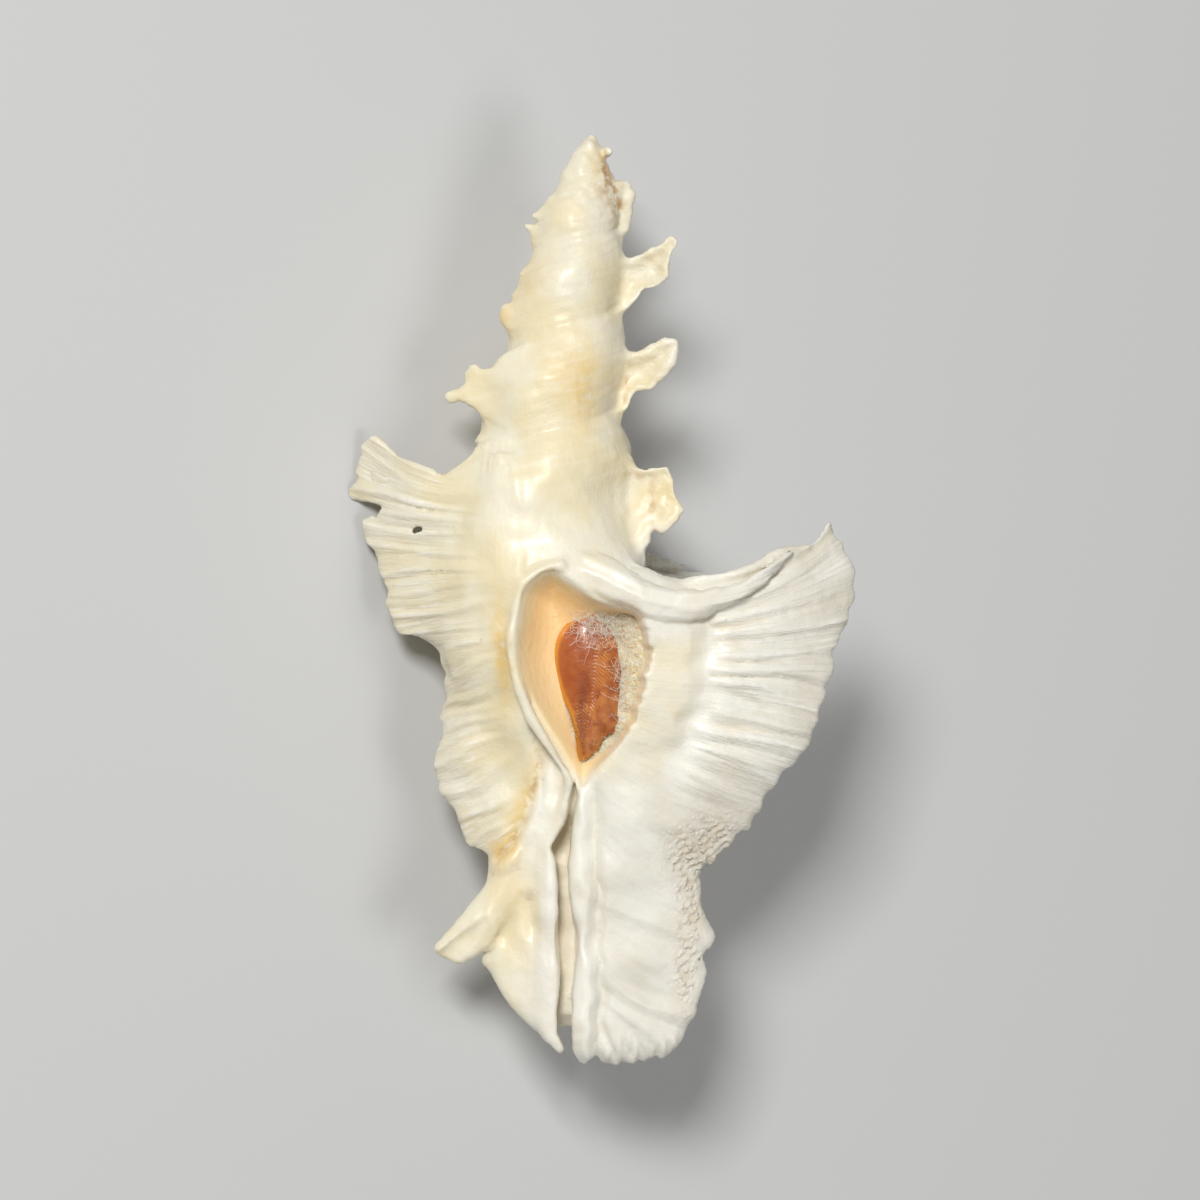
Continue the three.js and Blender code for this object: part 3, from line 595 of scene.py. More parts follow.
blade(
    [
        (-9.4, -26.4), (-11.2, -27.6), (-12.4, -28.6), (-13.4, -29.5), (-14.1, -30.0), (-13.8, -30.6),
        (-13.0, -30.7), (-12.4, -31.2), (-11.6, -31.2), (-10.6, -30.4), (-8.6, -28.6),
    ],
    3.1,
    0.1,
    -12,
    1.4,
    0.2,
    1.4,
)
cut(*tube([(-10.0, -27.6, 3.9), (-12.0, -29.5, 3.4), (-13.8, -31.2, 2.8)], (0.2, 0.5, 0.7), 2), 0.6)
cut(*tube([(-6.0, -25.4, 4.0), (-7.0, -27.2, 3.6), (-8.4, -29.0, 3.0)], (0.15, 0.4, 0.6), 2), 0.5)
join(
    *tube(
        [
            (-4.25, -21.9, 4.25), (-4.2, -26.0, 4.0), (-3.95, -30.0, 3.85),
            (-4.05, -34.0, 3.55), (-4.1, -37.6, 3.2),
        ],
        (0.4, 0.32, 0.3, 0.3, 0.25),
        2,
    ),
    0.35,
)
cut(
    *tube(
        [(-4.9, -13.6, 5.2), (-5.8, -17.0, 4.4), (-7.4, -20.4, 3.6), (-8.8, -22.2, 3.0)],
        (0.2, 0.4, 0.45, 0.3),
        2,
    ),
    0.7,
)


# ---- The mouth and the canal's slit ----
# The mouth is a smooth peach funnel, its left lip a thin raised collar with a groove outside it. From its
# foot the canal's slit runs down to the end, open all the way.
collar = [
    (-3.4, 2.9, 8.3), (-5.3, 2.3, 8.3), (-6.5, 0.9, 8.2), (-7.1, -1.6, 8.1), (-7.4, -4.6, 7.9),
    (-6.8, -7.6, 7.5), (-5.7, -10.2, 6.9), (-4.0, -12.9, 6.1), (-2.7, -15.2, 5.2), (-3.2, -18.4, 4.6),
    (-4.3, -21.2, 4.2),
]
cut(
    *tube([(px - 1.15, py - 0.1, pz + 0.1) for px, py, pz in collar[3:9]], (0.3, 0.8, 0.95, 0.8, 0.3), 2.5),
    0.9,
)
join(*tube(collar, (0.3, 0.42, 0.5, 0.5, 0.45, 0.4, 0.4), 2), 0.7)

a = grid_x[window((-8.6, 0, 0), (5.6, 1, 1))[0]]
b = grid_y[window((0, -17.4, 0), (1, 4, 1))[1]]
inside = outline_distance(mouth, a[:, None], b[None, :])
gentle = mix(0.75, 2.0, step(1.2, -3.4, a))[:, None]
rim_height = 8.3 - 0.07 * (a[:, None] + 7) - 0.0375 * np.maximum(0, -6 - b[None, :]) ** 2
sunk = 5.4 * (1 - np.exp(-((np.maximum(inside, 0) / gentle) ** 1.3)))
sunk *= mix(0.75, 1, step(-15.5, -11, b))[None, :]
floor_height = rim_height - sunk
where = window((-8.6, -17.4, -1), (5.6, 4, 10.6))
hollow = np.maximum(floor_height[..., None] - z[:, :, where[2]], -inside[..., None])
cut(where, hollow.astype(np.float32), 0.5)

slit = np.array(
    [
        (-2.15, -15.4), (-2.4, -16.6), (-3.1, -19.2), (-4.2, -21.2), (-3.85, -22.4), (-3.8, -26),
        (-3.6, -30), (-3.6, -33), (-3.8, -35.5), (-3.7, -37.2), (-3.1, -38.6), (-3.0, -40.8),
        (-2.6, -40.8), (-2.45, -37.2), (-2.25, -34.5), (-2.0, -31), (-2.1, -29), (-2.45, -25), (-2.6, -23),
        (-2.55, -21), (-2.3, -19), (-1.95, -16.8),
    ]
)
a = grid_x[window((-5.6, 0, 0), (-0.4, 1, 1))[0]]
b = grid_y[window((0, -41.4, 0), (1, -14, 1))[1]]
inside = outline_distance(slit, a[:, None], b[None, :])
where = window((-5.6, -41.4, -2), (-0.4, -14, 10.6))
slit_floor = 1.9 + 0.03 * (b + 16) + 1.5 * step(-21, -16, b) - 3 * step(-35.5, -38, b)
slit_floor = slit_floor[None, :, None]
hollow = np.maximum(slit_floor - z[:, :, where[2]], -inside[..., None])
cut(where, hollow.astype(np.float32), 0.35)
for hole_x in (-16.0, -15.75, -15.5):
    cut(*tube([(hole_x, 11.3 + hole_x / 3, -2), (hole_x, 11.3 + hole_x / 3, 4)], (0.2, 0.2), 1), 0.05)

grid = openvdb.FloatGrid(3.0)
grid.copyFromArray(np.clip(shell, -3, 3).astype(np.float32))
corners, quads = grid.convertToQuads(0.0)
corners = corners * cell + np.array([grid_x[0], grid_y[0], grid_z[0]])

# ---- Ribs, pits and wear of the shell ----
# Ribs run out over each wing as flutes of the whole leaf. Old surfaces are pitted, and everything is a
# little uneven, as grown lime is.
px, py, pz = corners.T
right_u, right_v, right_d, right_f = right_wing.read_all(px, py)
right_m = right_wing.look(from_mouth, px, py)
near_right = (pz > right_f - 2.2) & (px > -0.4)
on_right = step(-0.8, 0.2, right_d) * near_right
strength = step(4.0, 8.0, right_m) * (0.8 + 0.12 * np.exp(-(((right_m - 8.0) / 2.0) ** 2)))
strength *= mix(0.12, 1, step(-19, -12, py))
strength *= mix(0.7, 1, step(2.0, -3.0, py - 0.35 * (px - 12)))
strength += 0.45 * step(-24, -31, py) * step(0.15, 0.6, right_v)
strength *= mix(1, 0.5, step(0.4, 1, right_v))
uneven = 0.72 + 0.3 * np.sin(right_u * 2.6 + 0.8) + 0.25 * np.sin(right_u * 5.9 + 2 * right_v)
bent_u = right_u + 0.2 * np.sin(right_v * 5 + right_u * 2) + 0.12 * np.sin(right_v * 3 - right_u * 0.9)
ridge = (0.5 + 0.5 * np.cos(2 * np.pi * bent_u)) ** 0.85
fine = np.cos(2 * np.pi * bent_u * 3.0 + 2 * np.sin(right_u * 2.3 + 2 * right_v))
fine *= 0.05 * step(4.2, 7, right_m) * mix(0.25, 1, step(-19, -12, py))
lift = on_right * (strength * uneven * (0.75 * ridge - 0.42) + fine)
left_u, left_v, left_d, left_f = left_wing.read_all(px, py)
on_left = step(-0.8, 0.2, left_d) * (pz > left_f - 2.4) * (px < -4)
strength = step(0.12, 0.6, left_v) * mix(1.0, 0.5, step(8, 10.5, py))
uneven = 0.65 + 0.35 * np.sin(left_u * 3.1 + 2) + 0.2 * np.sin(left_u * 7.3)
bent_u = left_u + 0.15 * np.sin(left_v * 6 + left_u * 1.7)
fine = np.cos(2 * np.pi * bent_u * 2.0 + 1.5 * np.sin(left_u * 1.9))
lift += on_left * strength * (0.2 * uneven * np.cos(2 * np.pi * bent_u) + 0.08 * fine)
pz += lift
side = corners - np.array([float(axis_x(3.0)), 0, 0])
out = side[:, 0] * math.sin(back_azimuth) - side[:, 2] * math.cos(back_azimuth)
off = side[:, 0] * math.cos(back_azimuth) + side[:, 2] * math.sin(back_azimuth)
back_u, back_v, back_d, back_f = back_wing.read_all(out, py)
on_back = step(-0.8, 0.2, back_d) * (np.abs(off - back_f + 0.5) < 2.2) * (out > 4)
ripple = 0.3 * np.cos(2 * np.pi * back_u) + 0.1 * np.cos(2 * np.pi * back_u * 3)
ripple *= on_back * step(0.15, 0.5, back_v)
px += ripple * math.cos(back_azimuth)
pz += ripple * math.sin(back_azimuth)


def piece_from(name, points, faces):
    """A smooth mesh object from corners in millimetres and faces of four corners each."""
    mesh = bpy.data.meshes.new(name)
    mesh.vertices.add(len(points))
    mesh.vertices.foreach_set("co", (points / 1000).astype(np.float32).ravel())
    mesh.loops.add(len(faces) * 4)
    mesh.loops.foreach_set("vertex_index", faces.astype(np.int32).ravel())
    mesh.polygons.add(len(faces))
    mesh.polygons.foreach_set("loop_start", np.arange(0, len(faces) * 4, 4, dtype=np.int32))
    mesh.update(calc_edges=True)
    mesh.validate()
    mesh.transform(laid_down)
    mesh.polygons.foreach_set("use_smooth", np.ones(len(mesh.polygons), bool))
    made = bpy.data.objects.new(name, mesh)
    bpy.context.scene.collection.objects.link(made)
    return made


def write_marks(piece, named):
    """Numbers kept at each corner of a piece, which its finish reads by name."""
    for name, values in named.items():
        mark = piece.data.attributes.new(name, "FLOAT", "POINT")
        mark.data.foreach_set("value", values.astype(np.float32))


def spot(centre_x, centre_y, wide, tall, turn=0.0):
    """A soft-edged patch on the front of the shell, 1 in its middle."""
    c, s = math.cos(math.radians(turn)), math.sin(math.radians(turn))
    dx, dy = px - centre_x, py - centre_y
    return np.exp(-(((c * dx + s * dy) / wide) ** 2) - ((c * dy - s * dx) / tall) ** 2)


faces = quads
edges = np.vstack([faces[:, [0, 1]], faces[:, [1, 2]], faces[:, [2, 3]], faces[:, [3, 0]]])
degree = np.bincount(edges[:, 0], minlength=len(corners)) + 1e-9
across_a = corners[faces[:, 2]] - corners[faces[:, 0]]
across_b = corners[faces[:, 3]] - corners[faces[:, 1]]
face_normal = np.cross(across_a, across_b)


def gather(values):
    """Each corner's mean over its neighbours."""
    return np.stack(
        [
            np.bincount(edges[:, 0], values[edges[:, 1], k], minlength=len(corners))
            for k in range(values.shape[1])
        ],
        1,
    ) / degree[:, None]


normal = np.zeros_like(corners)
for k in range(4):
    for axis in range(3):
        normal[:, axis] += np.bincount(faces[:, k], face_normal[:, axis], minlength=len(corners))
normal /= np.linalg.norm(normal, axis=1)[:, None] + 1e-12
bend = ((gather(corners) - corners) * normal).sum(1)[:, None]
for _ in range(3):
    bend = 0.5 * bend + 0.5 * gather(bend)
# How far the surface bends in or out at each corner; the finish uses it for painted shade in creases and a
# painted highlight on ridges.
crease_shade_ridge_light = np.clip(bend[:, 0] / (cell * 0.22), -1, 1)

facing_front = step(-0.1, 0.5, normal[:, 2])
azimuth = np.degrees(np.arctan2(px - axis_x(py), axis_z(py) - pz)) % 360
turn = np.log(np.maximum(growth_centre_y - py, 1) / 53.5) / math.log(whorl_growth) - azimuth / 360
waves = np.random.default_rng(3)
rough = np.zeros(len(corners))
for size, deep in ((7.0, 0.1), (4.0, 0.05), (2.2, 0.022), (1.2, 0.008)):
    for _ in range(5):
        way = waves.normal(size=3)
        way *= 2 * np.pi / size / np.linalg.norm(way)
        rough += deep * np.sin(corners @ way + waves.uniform(0, 6.3)) / 1.6
on_spire = step(7, 13, py) * step(40, 36, py)
cords = np.cos(2 * np.pi * 7 * turn + np.sin(azimuth / 14)) * (1 + 0.8 * np.sin(azimuth / 9 + py))
rough += on_spire * 0.016 * cords
crusty = step(31, 36, py) + 0.6 * step(2.0, 3.4, px) * step(4, 5, py)
rough += 0.07 * crusty * np.sin(px * 4.1 + np.sin(py * 3)) * np.sin(py * 3.7 + np.sin(pz * 3))
frills = np.sin(px * 5.1 + 1.2 * np.sin(py * 2.3)) + 0.6 * np.sin(px * 8.3 - py)
rough += 0.1 * step(-36.4, -39.2, py) * step(-0.5, 0.5, px) * frills
mouth_inside = outline_distance(mouth[::4], px, py) * (pz > 1) - 10 * (pz <= 1)
left_share = on_left * step(0.25, 0.7, left_v)
marks = {
    "white": np.clip(
        step(-1.5, 3.5, px - 0.25 * (py + 2)) * step(9, 2, py)
        * (1 - 0.8 * on_right * step(5.0, 3.0, right_m) * step(-2.5, -4.5, py) * step(-17, -13, py))
        + facing_front
        * (
            0.8 * spot(-0.5, 1.8, 4.5, 2.6, -20)
            + 0.9 * spot(-5.0, -17.5, 0.9, 4.5, -12)
            + 0.9 * spot(-4.3, -30.0, 0.6, 8.0)
        ),
        0,
        1,
    ),
    "peach": step(-0.2, 1.6, mouth_inside) * (0.78 + 0.22 * step(-9, 1.5, py)),
    "tan": facing_front
    * (
        0.75 * spot(-1.6, 17.4, 1.7, 3.4, 6)
        + 0.3 * spot(-2.6, 20.5, 4.0, 2.0)
        + 0.3 * spot(-3.1, -28.0, 0.7, 12.0)
        + 1.0 * spot(-8.4, -4.5, 0.8, 4.8, 3)
        + 0.8 * spot(-8.3, -21.4, 1.3, 1.0)
        + 0.8 * spot(-6.8, -17.8, 0.8, 4.6, -18)
        + 0.7 * spot(-8.6, 24.2, 1.3, 1.3)
        + 0.5 * spot(-6.4, 27.5, 2.0, 2.6)
        + 0.4 * spot(-7.5, -24.5, 1.6, 3.0, 20)
        + 0.5 * spot(-0.2, 37.6, 0.9, 1.8)
        + 0.3 * spot(5.2, 9.0, 2.0, 3.0)
    ),
    "rust": facing_front
    * (
        1.0 * spot(1.2, 34.6, 0.7, 2.4, 10)
        + 0.8 * spot(0.2, 36.6, 0.5, 1.8, -8)
        + 0.6 * spot(-8.2, -21.4, 1.1, 0.35, 35)
        + 0.7 * spot(-7.1, -20.0, 0.3, 1.6, -35)
        + 0.7 * spot(-5.7, -16.0, 0.3, 2.6, -16)
        + 0.7 * spot(2.3, 18.6, 0.25, 1.8, -8)
        + 0.6 * spot(3.2, 10.7, 1.2, 0.25, -12)
        + 0.6 * spot(4.5, 8.5, 0.25, 1.6)
    ),
    "chalk": np.clip(
        (
            1.1 * spot(9.0, -20.9, 3.2, 2.2, 25)
            + 0.9 * spot(7.6, -26, 1.1, 4.4)
            + 0.7 * spot(7.4, -32.5, 1.2, 3.0)
        )
        * (0.8 + 0.4 * np.sin(2.7 * px + 1.3 * np.sin(1.9 * py)) * np.sin(2.3 * py + px))
        + 0.2 * step(2.2, 3.4, px) * step(16, 17, py)
        + 0.2 * spot(5.4, 8.6, 1.6, 3.0),
        0,
        1,
    ),
    "thin": np.clip(
        on_right * (0.5 * step(0.4, 1.05, right_v) * step(-27, -18, py) + 0.2 * step(-14, -18, py))
        + 0.3 * left_share * step(0.3, 1.0, left_v)
        + 0.12 * step(18, 36, py)
        # Painted shade in the canal's slit, the same grey as the thin edges.
        + 0.45 * facing_front * spot(-3.1, -28.0, 0.7, 12.0),
        0,
        1,
    ),
    # Painted shade in creases and painted highlight on ridges, from the bend.
    "crease_shade_ridge_light": crease_shade_ridge_light,
    "rib": np.where(
        on_right > 0, right_u, np.where(left_share > 0, left_u, np.where(on_back > 0, back_u, 3 * turn))
    ),
    "along": np.where(
        on_right > 0, right_v, np.where(left_share > 0, left_v, np.where(on_back > 0, back_v, azimuth / 200))
    ),
    "ribbed": np.clip(
        on_right * step(-0.4, 0.8, px) * (0.25 + step(4.2, 8, right_m) * step(-19, -15, py))
        + left_share
        + on_back * step(0.1, 0.6, back_v)
        + 0.3 * on_spire * (left_share == 0) * step(0.25, 0.1, left_v * on_left),
        0,
        1,
    ),
    "spire": on_spire * (1 - on_left),
}

grains = np.zeros(len(corners))
for _ in range(9):
    way = waves.normal(size=3)
    way *= 2 * np.pi / 0.62 / np.linalg.norm(way)
    grains += 0.5 * np.sin(corners @ way + waves.uniform(0, 6.3))
rough += 0.2 * step(0.2, 0.75, marks["chalk"]) * (step(-0.6, 1.1, grains) - 0.4)
corners += rough[:, None] * normal * step(-1.0, 0.6, -mouth_inside)[:, None]
shell_piece = piece_from("murex_shell", corners, faces)
standing = np.empty(len(corners) * 3, np.float32)
shell_piece.data.vertices.foreach_get("co", standing)
standing = standing.reshape(-1, 3)
contact = 0.0006
resting = standing[:, 2] < contact
standing[resting, 2] = contact * np.exp(standing[resting, 2] / contact - 1)
shell_piece.data.vertices.foreach_set("co", standing.ravel())
write_marks(shell_piece, marks)
most_triangles = 190000
triangles = 2 * len(faces)
if triangles > most_triangles:
    thin = shell_piece.modifiers.new("thin", "DECIMATE")
    thin.ratio = most_triangles / triangles
    with bpy.context.temp_override(object=shell_piece, active_object=shell_piece):
        bpy.ops.object.modifier_apply(modifier="thin")
    shell_piece.data.polygons.foreach_set("use_smooth", np.ones(len(shell_piece.data.polygons), bool))


class Value:
    """A node's output that can be used in sums."""

    def __init__(self, finish, socket):
        self.finish = finish
        self.socket = socket

    def maths(self, operation, *others):
        return self.finish.node(
            "ShaderNodeMath", {"operation": operation}, {0: self, **dict(enumerate(others, 1))}
        )

    def __add__(self, other):
        return self.maths("ADD", other)

    __radd__ = __add__

    def __mul__(self, other):
        return self.maths("MULTIPLY", other)

    __rmul__ = __mul__

    def __sub__(self, other):
        return self.maths("SUBTRACT", other)

    def __rsub__(self, other):
        return self.maths("MULTIPLY", -1).maths("ADD", other)

    def between(self, low, high):
        """0 below low and 1 above high, eased in between."""
        return self.finish.node(
            "ShaderNodeMapRange",
            {"interpolation_type": "SMOOTHSTEP"},
            {"Value": self, "From Min": low, "From Max": high},
        )


class Finish:
    """A material, and its nodes."""

    def __init__(self, name, **constant):
        self.material = bpy.data.materials.new(name)
        self.material.use_nodes = True
        self.tree = self.material.node_tree
        self.surface = self.tree.nodes["Principled BSDF"]
        self.set(self.surface, {k.replace("_", " "): v for k, v in constant.items()})

    def set(self, node, inputs):
        for key, value in inputs.items():
            if isinstance(value, Value):
                self.tree.links.new(value.socket, node.inputs[key])
            else:
                node.inputs[key].default_value = value

    def node(self, kind, settings, inputs, output=0):
        node = self.tree.nodes.new(kind)
        for key, value in settings.items():
            setattr(node, key, value)
        self.set(node, inputs)
        return Value(self, node.outputs[output])

    def mark(self, name):
        return self.node("ShaderNodeAttribute", {"attribute_name": name}, {}, "Fac")

    def place(self):
        """Where the surface is, in millimetres."""
        here = self.node("ShaderNodeTexCoord", {}, {}, "Object")
        return self.node("ShaderNodeVectorMath", {"operation": "SCALE"}, {0: here, "Scale": 1000})

    def noise(self, size, detail=2.0, at=None, output="Fac"):
        """Cloudy noise with lumps about size millimetres across."""
        return self.node(
            "ShaderNodeTexNoise",
            {},
            {"Vector": at or self.place(), "Scale": 1 / size, "Detail": detail},
            output,
        )

    def tint(self, a, b, share):
        return self.node("ShaderNodeMix", {"data_type": "RGBA"}, {"Factor": share, 6: a, 7: b}, 2)

    def bumped(self, height, depth, distance=0.001):
        return self.node("ShaderNodeBump", {}, {"Height": height, "Strength": depth, "Distance": distance})


lime = Finish(
    "shell_lime",
    Subsurface_Weight=0.12,
    Subsurface_Scale=0.0012,
    Subsurface_Radius=(1.0, 0.7, 0.45),
    Coat_Roughness=0.25,
    IOR=1.5,
)
clouds = lime.noise(5.0, 3.0)
flecks = lime.noise(0.9, 3.0)
cream = lime.tint((0.83, 0.73, 0.48, 1), (0.86, 0.80, 0.62, 1), clouds.between(0.35, 0.62))
white = lime.tint((0.82, 0.77, 0.65, 1), (0.90, 0.87, 0.77, 1), clouds.between(0.3, 0.6))
colour = lime.tint(cream, white, lime.mark("white"))
# Thin edges and the spire go greyer; in the canal's slit this grey is painted shade.
colour = lime.tint(colour, (0.52, 0.49, 0.42, 1), lime.mark("thin"))
peach = lime.tint((0.96, 0.75, 0.42, 1), (0.98, 0.68, 0.33, 1), lime.mark("peach").between(0.62, 0.98))
colour = lime.tint(colour, peach, lime.mark("peach").between(0, 0.5))
colour = lime.tint(colour, (0.82, 0.58, 0.21, 1), lime.mark("tan") * flecks.between(0.05, 0.6))
colour = lime.tint(colour, (0.50, 0.28, 0.09, 1), lime.mark("rust") * flecks.between(0.35, 0.6))
# Painted shade: creases tinted a darker brown. Painted highlight: ridges tinted towards white.
colour = lime.tint(colour, (0.60, 0.46, 0.27, 1), lime.mark("crease_shade_ridge_light").between(0.12, 0.9) * 0.38)
colour = lime.tint(colour, (0.93, 0.90, 0.82, 1), (0 - lime.mark("crease_shade_ridge_light")).between(0.15, 0.9) * 0.5)
chalk = lime.mark("chalk")
pits = lime.node(
    "ShaderNodeTexVoronoi",
    {"feature": "F1"},
    {"Vector": lime.place(), "Scale": 2.1, "Randomness": 1.0},
    "Distance",
)
pearls = (1 - pits).between(0.45, 0.95)
blisters_painted_glint = (1 - pits).between(0.78, 0.94) * clouds.between(0.52, 0.62) * lime.mark("spire")
colour = lime.tint(colour, (0.58, 0.48, 0.34, 1), (1 - pearls) * chalk * 0.6)
# Painted highlight: the spire's small blisters are whitened like glints on their tops; their bumps are real.
colour = lime.tint(colour, (0.97, 0.95, 0.88, 1), blisters_painted_glint * 0.6)
flow = lime.node("ShaderNodeCombineXYZ", {}, {"X": lime.mark("rib") * 4.6, "Y": lime.mark("along") * 2.6})
streaks = lime.node(
    "ShaderNodeTexNoise", {}, {"Vector": flow, "Scale": 1.0, "Detail": 4.0, "Roughness": 0.62}, 0
)
ribbed = lime.mark("ribbed")
colour = lime.tint(colour, (0.96, 0.94, 0.88, 1), streaks.between(0.5, 0.72) * ribbed * 0.55)
colour = lime.tint(colour, (0.60, 0.50, 0.34, 1), (1 - streaks).between(0.5, 0.78) * ribbed * 0.22)
growth = lime.noise(0.35, 3.0, lime.node(
    "ShaderNodeVectorMath", {"operation": "MULTIPLY"}, {0: lime.place(), 1: (1.0, 0.22, 1.0)}
))
grain = (
    streaks * ribbed * 0.55
    + flecks * 0.2
    + growth * 0.08
    + lime.noise(0.22, 2.0) * 0.06
    + pearls * chalk * 0.45
    + blisters_painted_glint * 0.08
)
lime.set(
    lime.surface,
    {
        "Base Color": colour,
        "Roughness": 0.38 + 0.24 * flecks + 0.25 * chalk,
        "Coat Weight": 0.28 - 0.24 * chalk,
        "Normal": lime.bumped(grain, 0.7, 0.0005),
    },
)
shell_piece.data.materials.append(lime.material)
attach(shell_piece, "root")
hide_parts("shell")


# ---- The operculum ----
# The animal's own lid, a thin leaf of amber-brown horn that grew in rings round a point near its narrow
# lower end. It is glued to the cotton wool inside the mouth.
def two_sided(n, rings):
    """Faces of a closed leaf: a front and a back, each of rings of n corners with one more in the middle."""
    k = np.arange(n)
    after = (k + 1) % n
    front = np.vstack(
        [
            np.column_stack([(i + 1) * n + k, (i + 1) * n + after, i * n + after, i * n + k])
            for i in range(rings - 1)
        ]
    )
    second = rings * n
    rim = second - n
    middle = np.full(n, 2 * second)
    return np.vstack(
        [
            front,
            front[:, ::-1] + second,
            np.column_stack([second + rim + k, second + rim + after, rim + after, rim + k]),
            np.column_stack([k, after, middle, middle]),
            np.column_stack([second + after, second + k, middle + 1, middle + 1]),
        ]
    )


lid_outline = curve(
    [
        (-1.95, -13.9), (-2.1, -12), (-2.6, -9.8), (-3.5, -7.6), (-4.0, -5.2), (-3.7, -3.4), (-2.9, -2.1),
        (-1.8, -1.35), (-0.7, -1.4), (0.5, -2.2), (1.4, -3.5), (1.85, -5.3), (1.75, -7.6), (1.55, -9.4),
        (1.3, -11), (0.3, -11.9), (-0.3, -12.9), (-1.1, -13.6), (-1.95, -13.9),
    ],
    241,
)[:-1]
turns = np.linspace(0, 2 * np.pi, len(lid_outline), endpoint=False)
lid_outline += 0.06 * np.stack([np.sin(turns * 23), np.cos(turns * 31)], 1) * (lid_outline[:, :1] > -0.5)
nucleus = np.array([-1.5, -12.4])
rings = 90
lid_points = []
ring_marks = []
for under in (False, True):
    for i in range(rings):
        t = (i + 1) / rings
        flat = nucleus + (lid_outline - nucleus) * t
        wobble = 0.008 * np.sin(turns * 9) + 0.006 * np.sin(turns * 21 + 3 * t)
        lines_t = t + wobble
        edge_in = outline_distance(lid_outline[::4], flat[:, 0], flat[:, 1])
        dome = 0.75 * (1 - np.exp(-np.maximum(edge_in, 0) / 1.2))
        disc = step(0.2, -1.2, flat[:, 0]) * step(-9.5, -7, flat[:, 1])
        ridge = 0.007 * (1 - 0.9 * disc) * np.cos(2 * np.pi * lines_t * 17)
        hollow_line = 0.12 * np.exp(
            -(((flat[:, 0] + 1.5 - 0.12 * (flat[:, 1] + 9)) / 0.7) ** 2)
        ) * step(-4, -8, flat[:, 1])
        height = 3.55 + dome + ridge - hollow_line + 0.06 * (flat[:, 0] + 1)
        if under:
            height = np.full(len(flat), 3.25)
            flat = nucleus + (lid_outline - nucleus) * t * 0.985
        lid_points.append(np.column_stack([flat, height]))
        ring_marks.append(np.full(len(flat), t) + wobble)
n = len(lid_outline)
points = np.vstack(lid_points + [[(*nucleus, lid_points[0][:, 2].mean())], [(*nucleus, 3.25)]])
ring_marks = np.append(np.concatenate(ring_marks), [0, 0])
lid = piece_from("operculum_lid", points, two_sided(n, rings))
px, py, pz = points.T
edge_in = outline_distance(lid_outline, px, py)
lid_marks = {
    "ring": ring_marks,
    "margin": step(0.55, 0.2, edge_in) * step(-0.8, -1.6, px),
    "disc": step(0.4, -1.0, px) * step(-9.8, -7.5, py),
    "streak": np.exp(-(((px + 1.6 - 0.12 * (py + 9)) / 0.45) ** 2)) * step(-5, -8, py),
}
write_marks(lid, lid_marks)
horn = Finish(
    "operculum_horn",
    Subsurface_Weight=0.15,
    Subsurface_Scale=0.0008,
    Subsurface_Radius=(1.0, 0.35, 0.1),
    Coat_Roughness=0.14,
    Coat_Weight=0.45,
    IOR=1.54,
)
mottle = horn.noise(0.9, 3.0)
growth = horn.node("ShaderNodeMath", {"operation": "SINE"}, {0: horn.mark("ring") * 214 + mottle * 2})
colour = horn.tint((0.40, 0.105, 0.02, 1), (0.64, 0.23, 0.05, 1), mottle.between(0.35, 0.65))
colour = horn.tint(colour, (0.15, 0.035, 0.015, 1), growth.between(0.1, 1.0) * 0.55)
colour = horn.tint(colour, (0.36, 0.08, 0.014, 1), horn.mark("disc") * 0.8)
colour = horn.tint(colour, (0.13, 0.03, 0.02, 1), horn.mark("streak") * 0.5)
colour = horn.tint(colour, (0.62, 0.23, 0.015, 1), horn.mark("margin"))
horn.set(
    horn.surface,
    {
        "Base Color": colour,
        "Roughness": 0.2 + 0.18 * mottle,
        "Normal": horn.bumped(growth * (1 - 0.9 * horn.mark("disc")) * 0.06 + mottle * 0.3, 0.6, 0.0003),
    },
)
lid.data.materials.append(horn.material)
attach(lid, "root")
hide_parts("operculum")


# ---- The cotton wool ----
# A tuft of cotton wool pushed into the mouth, cream where the glue has soaked it. The operculum is stuck on
# it, and its loose fibres stray up round the lid and across its upper end.
seed = np.random.default_rng(7)
tuft_outline = curve(
    [
        (-3.0, -1.6), (-2.2, -0.2), (-0.4, 0.3), (1.8, -0.5), (3.2, -1.4), (4.1, -3.2), (4.2, -5.4),
        (3.8, -7.6), (3.2, -9.6), (2.2, -11.6), (0.6, -13.2), (-1.4, -14.4), (-2.4, -13.4), (-3.2, -9.8),
        (-4.2, -5.6), (-3.0, -1.6),
    ],
    161,
)[:-1]
tuft_middle = np.array([0.4, -6.4])
lumps = seed.uniform(-1, 1, (40, 4))


def woolly(a, b, fine=1.0):
    """Uneven lumps for the tuft's surface."""
    total = 0 * a
    for sa, sb, phase, size in lumps:
        total = total + np.sin(a * (1 + 3 * sa * fine) + b * (1 + 3 * sb * fine) + 9 * phase) * size
    return total / 6


tuft_points = []
tuft_rings = 46
for under in (False, True):
    for i in range(tuft_rings):
        t = math.sqrt((i + 1) / tuft_rings)
        flat = tuft_middle + (tuft_outline - tuft_middle) * t
        height = 3.25 + 1.5 * step(0.6, 3.6, flat[:, 0]) + 0.7 * step(-2.6, -0.4, flat[:, 1])
        height = height + 0.22 * woolly(flat[:, 0], flat[:, 1]) - 0.7 * step(0.93, 1, t)
        if under:
            height = np.full(len(flat), 2.2)
        tuft_points.append(np.column_stack([flat, height]))
n = len(tuft_outline)
points = np.vstack(tuft_points + [[(*tuft_middle, 3.3)], [(*tuft_middle, 2.2)]])
tuft = piece_from("cotton_tuft", points, two_sided(n, tuft_rings))

fibre_points = []
fibre_faces = []
fibre_sides = 4
fibre_steps = 12


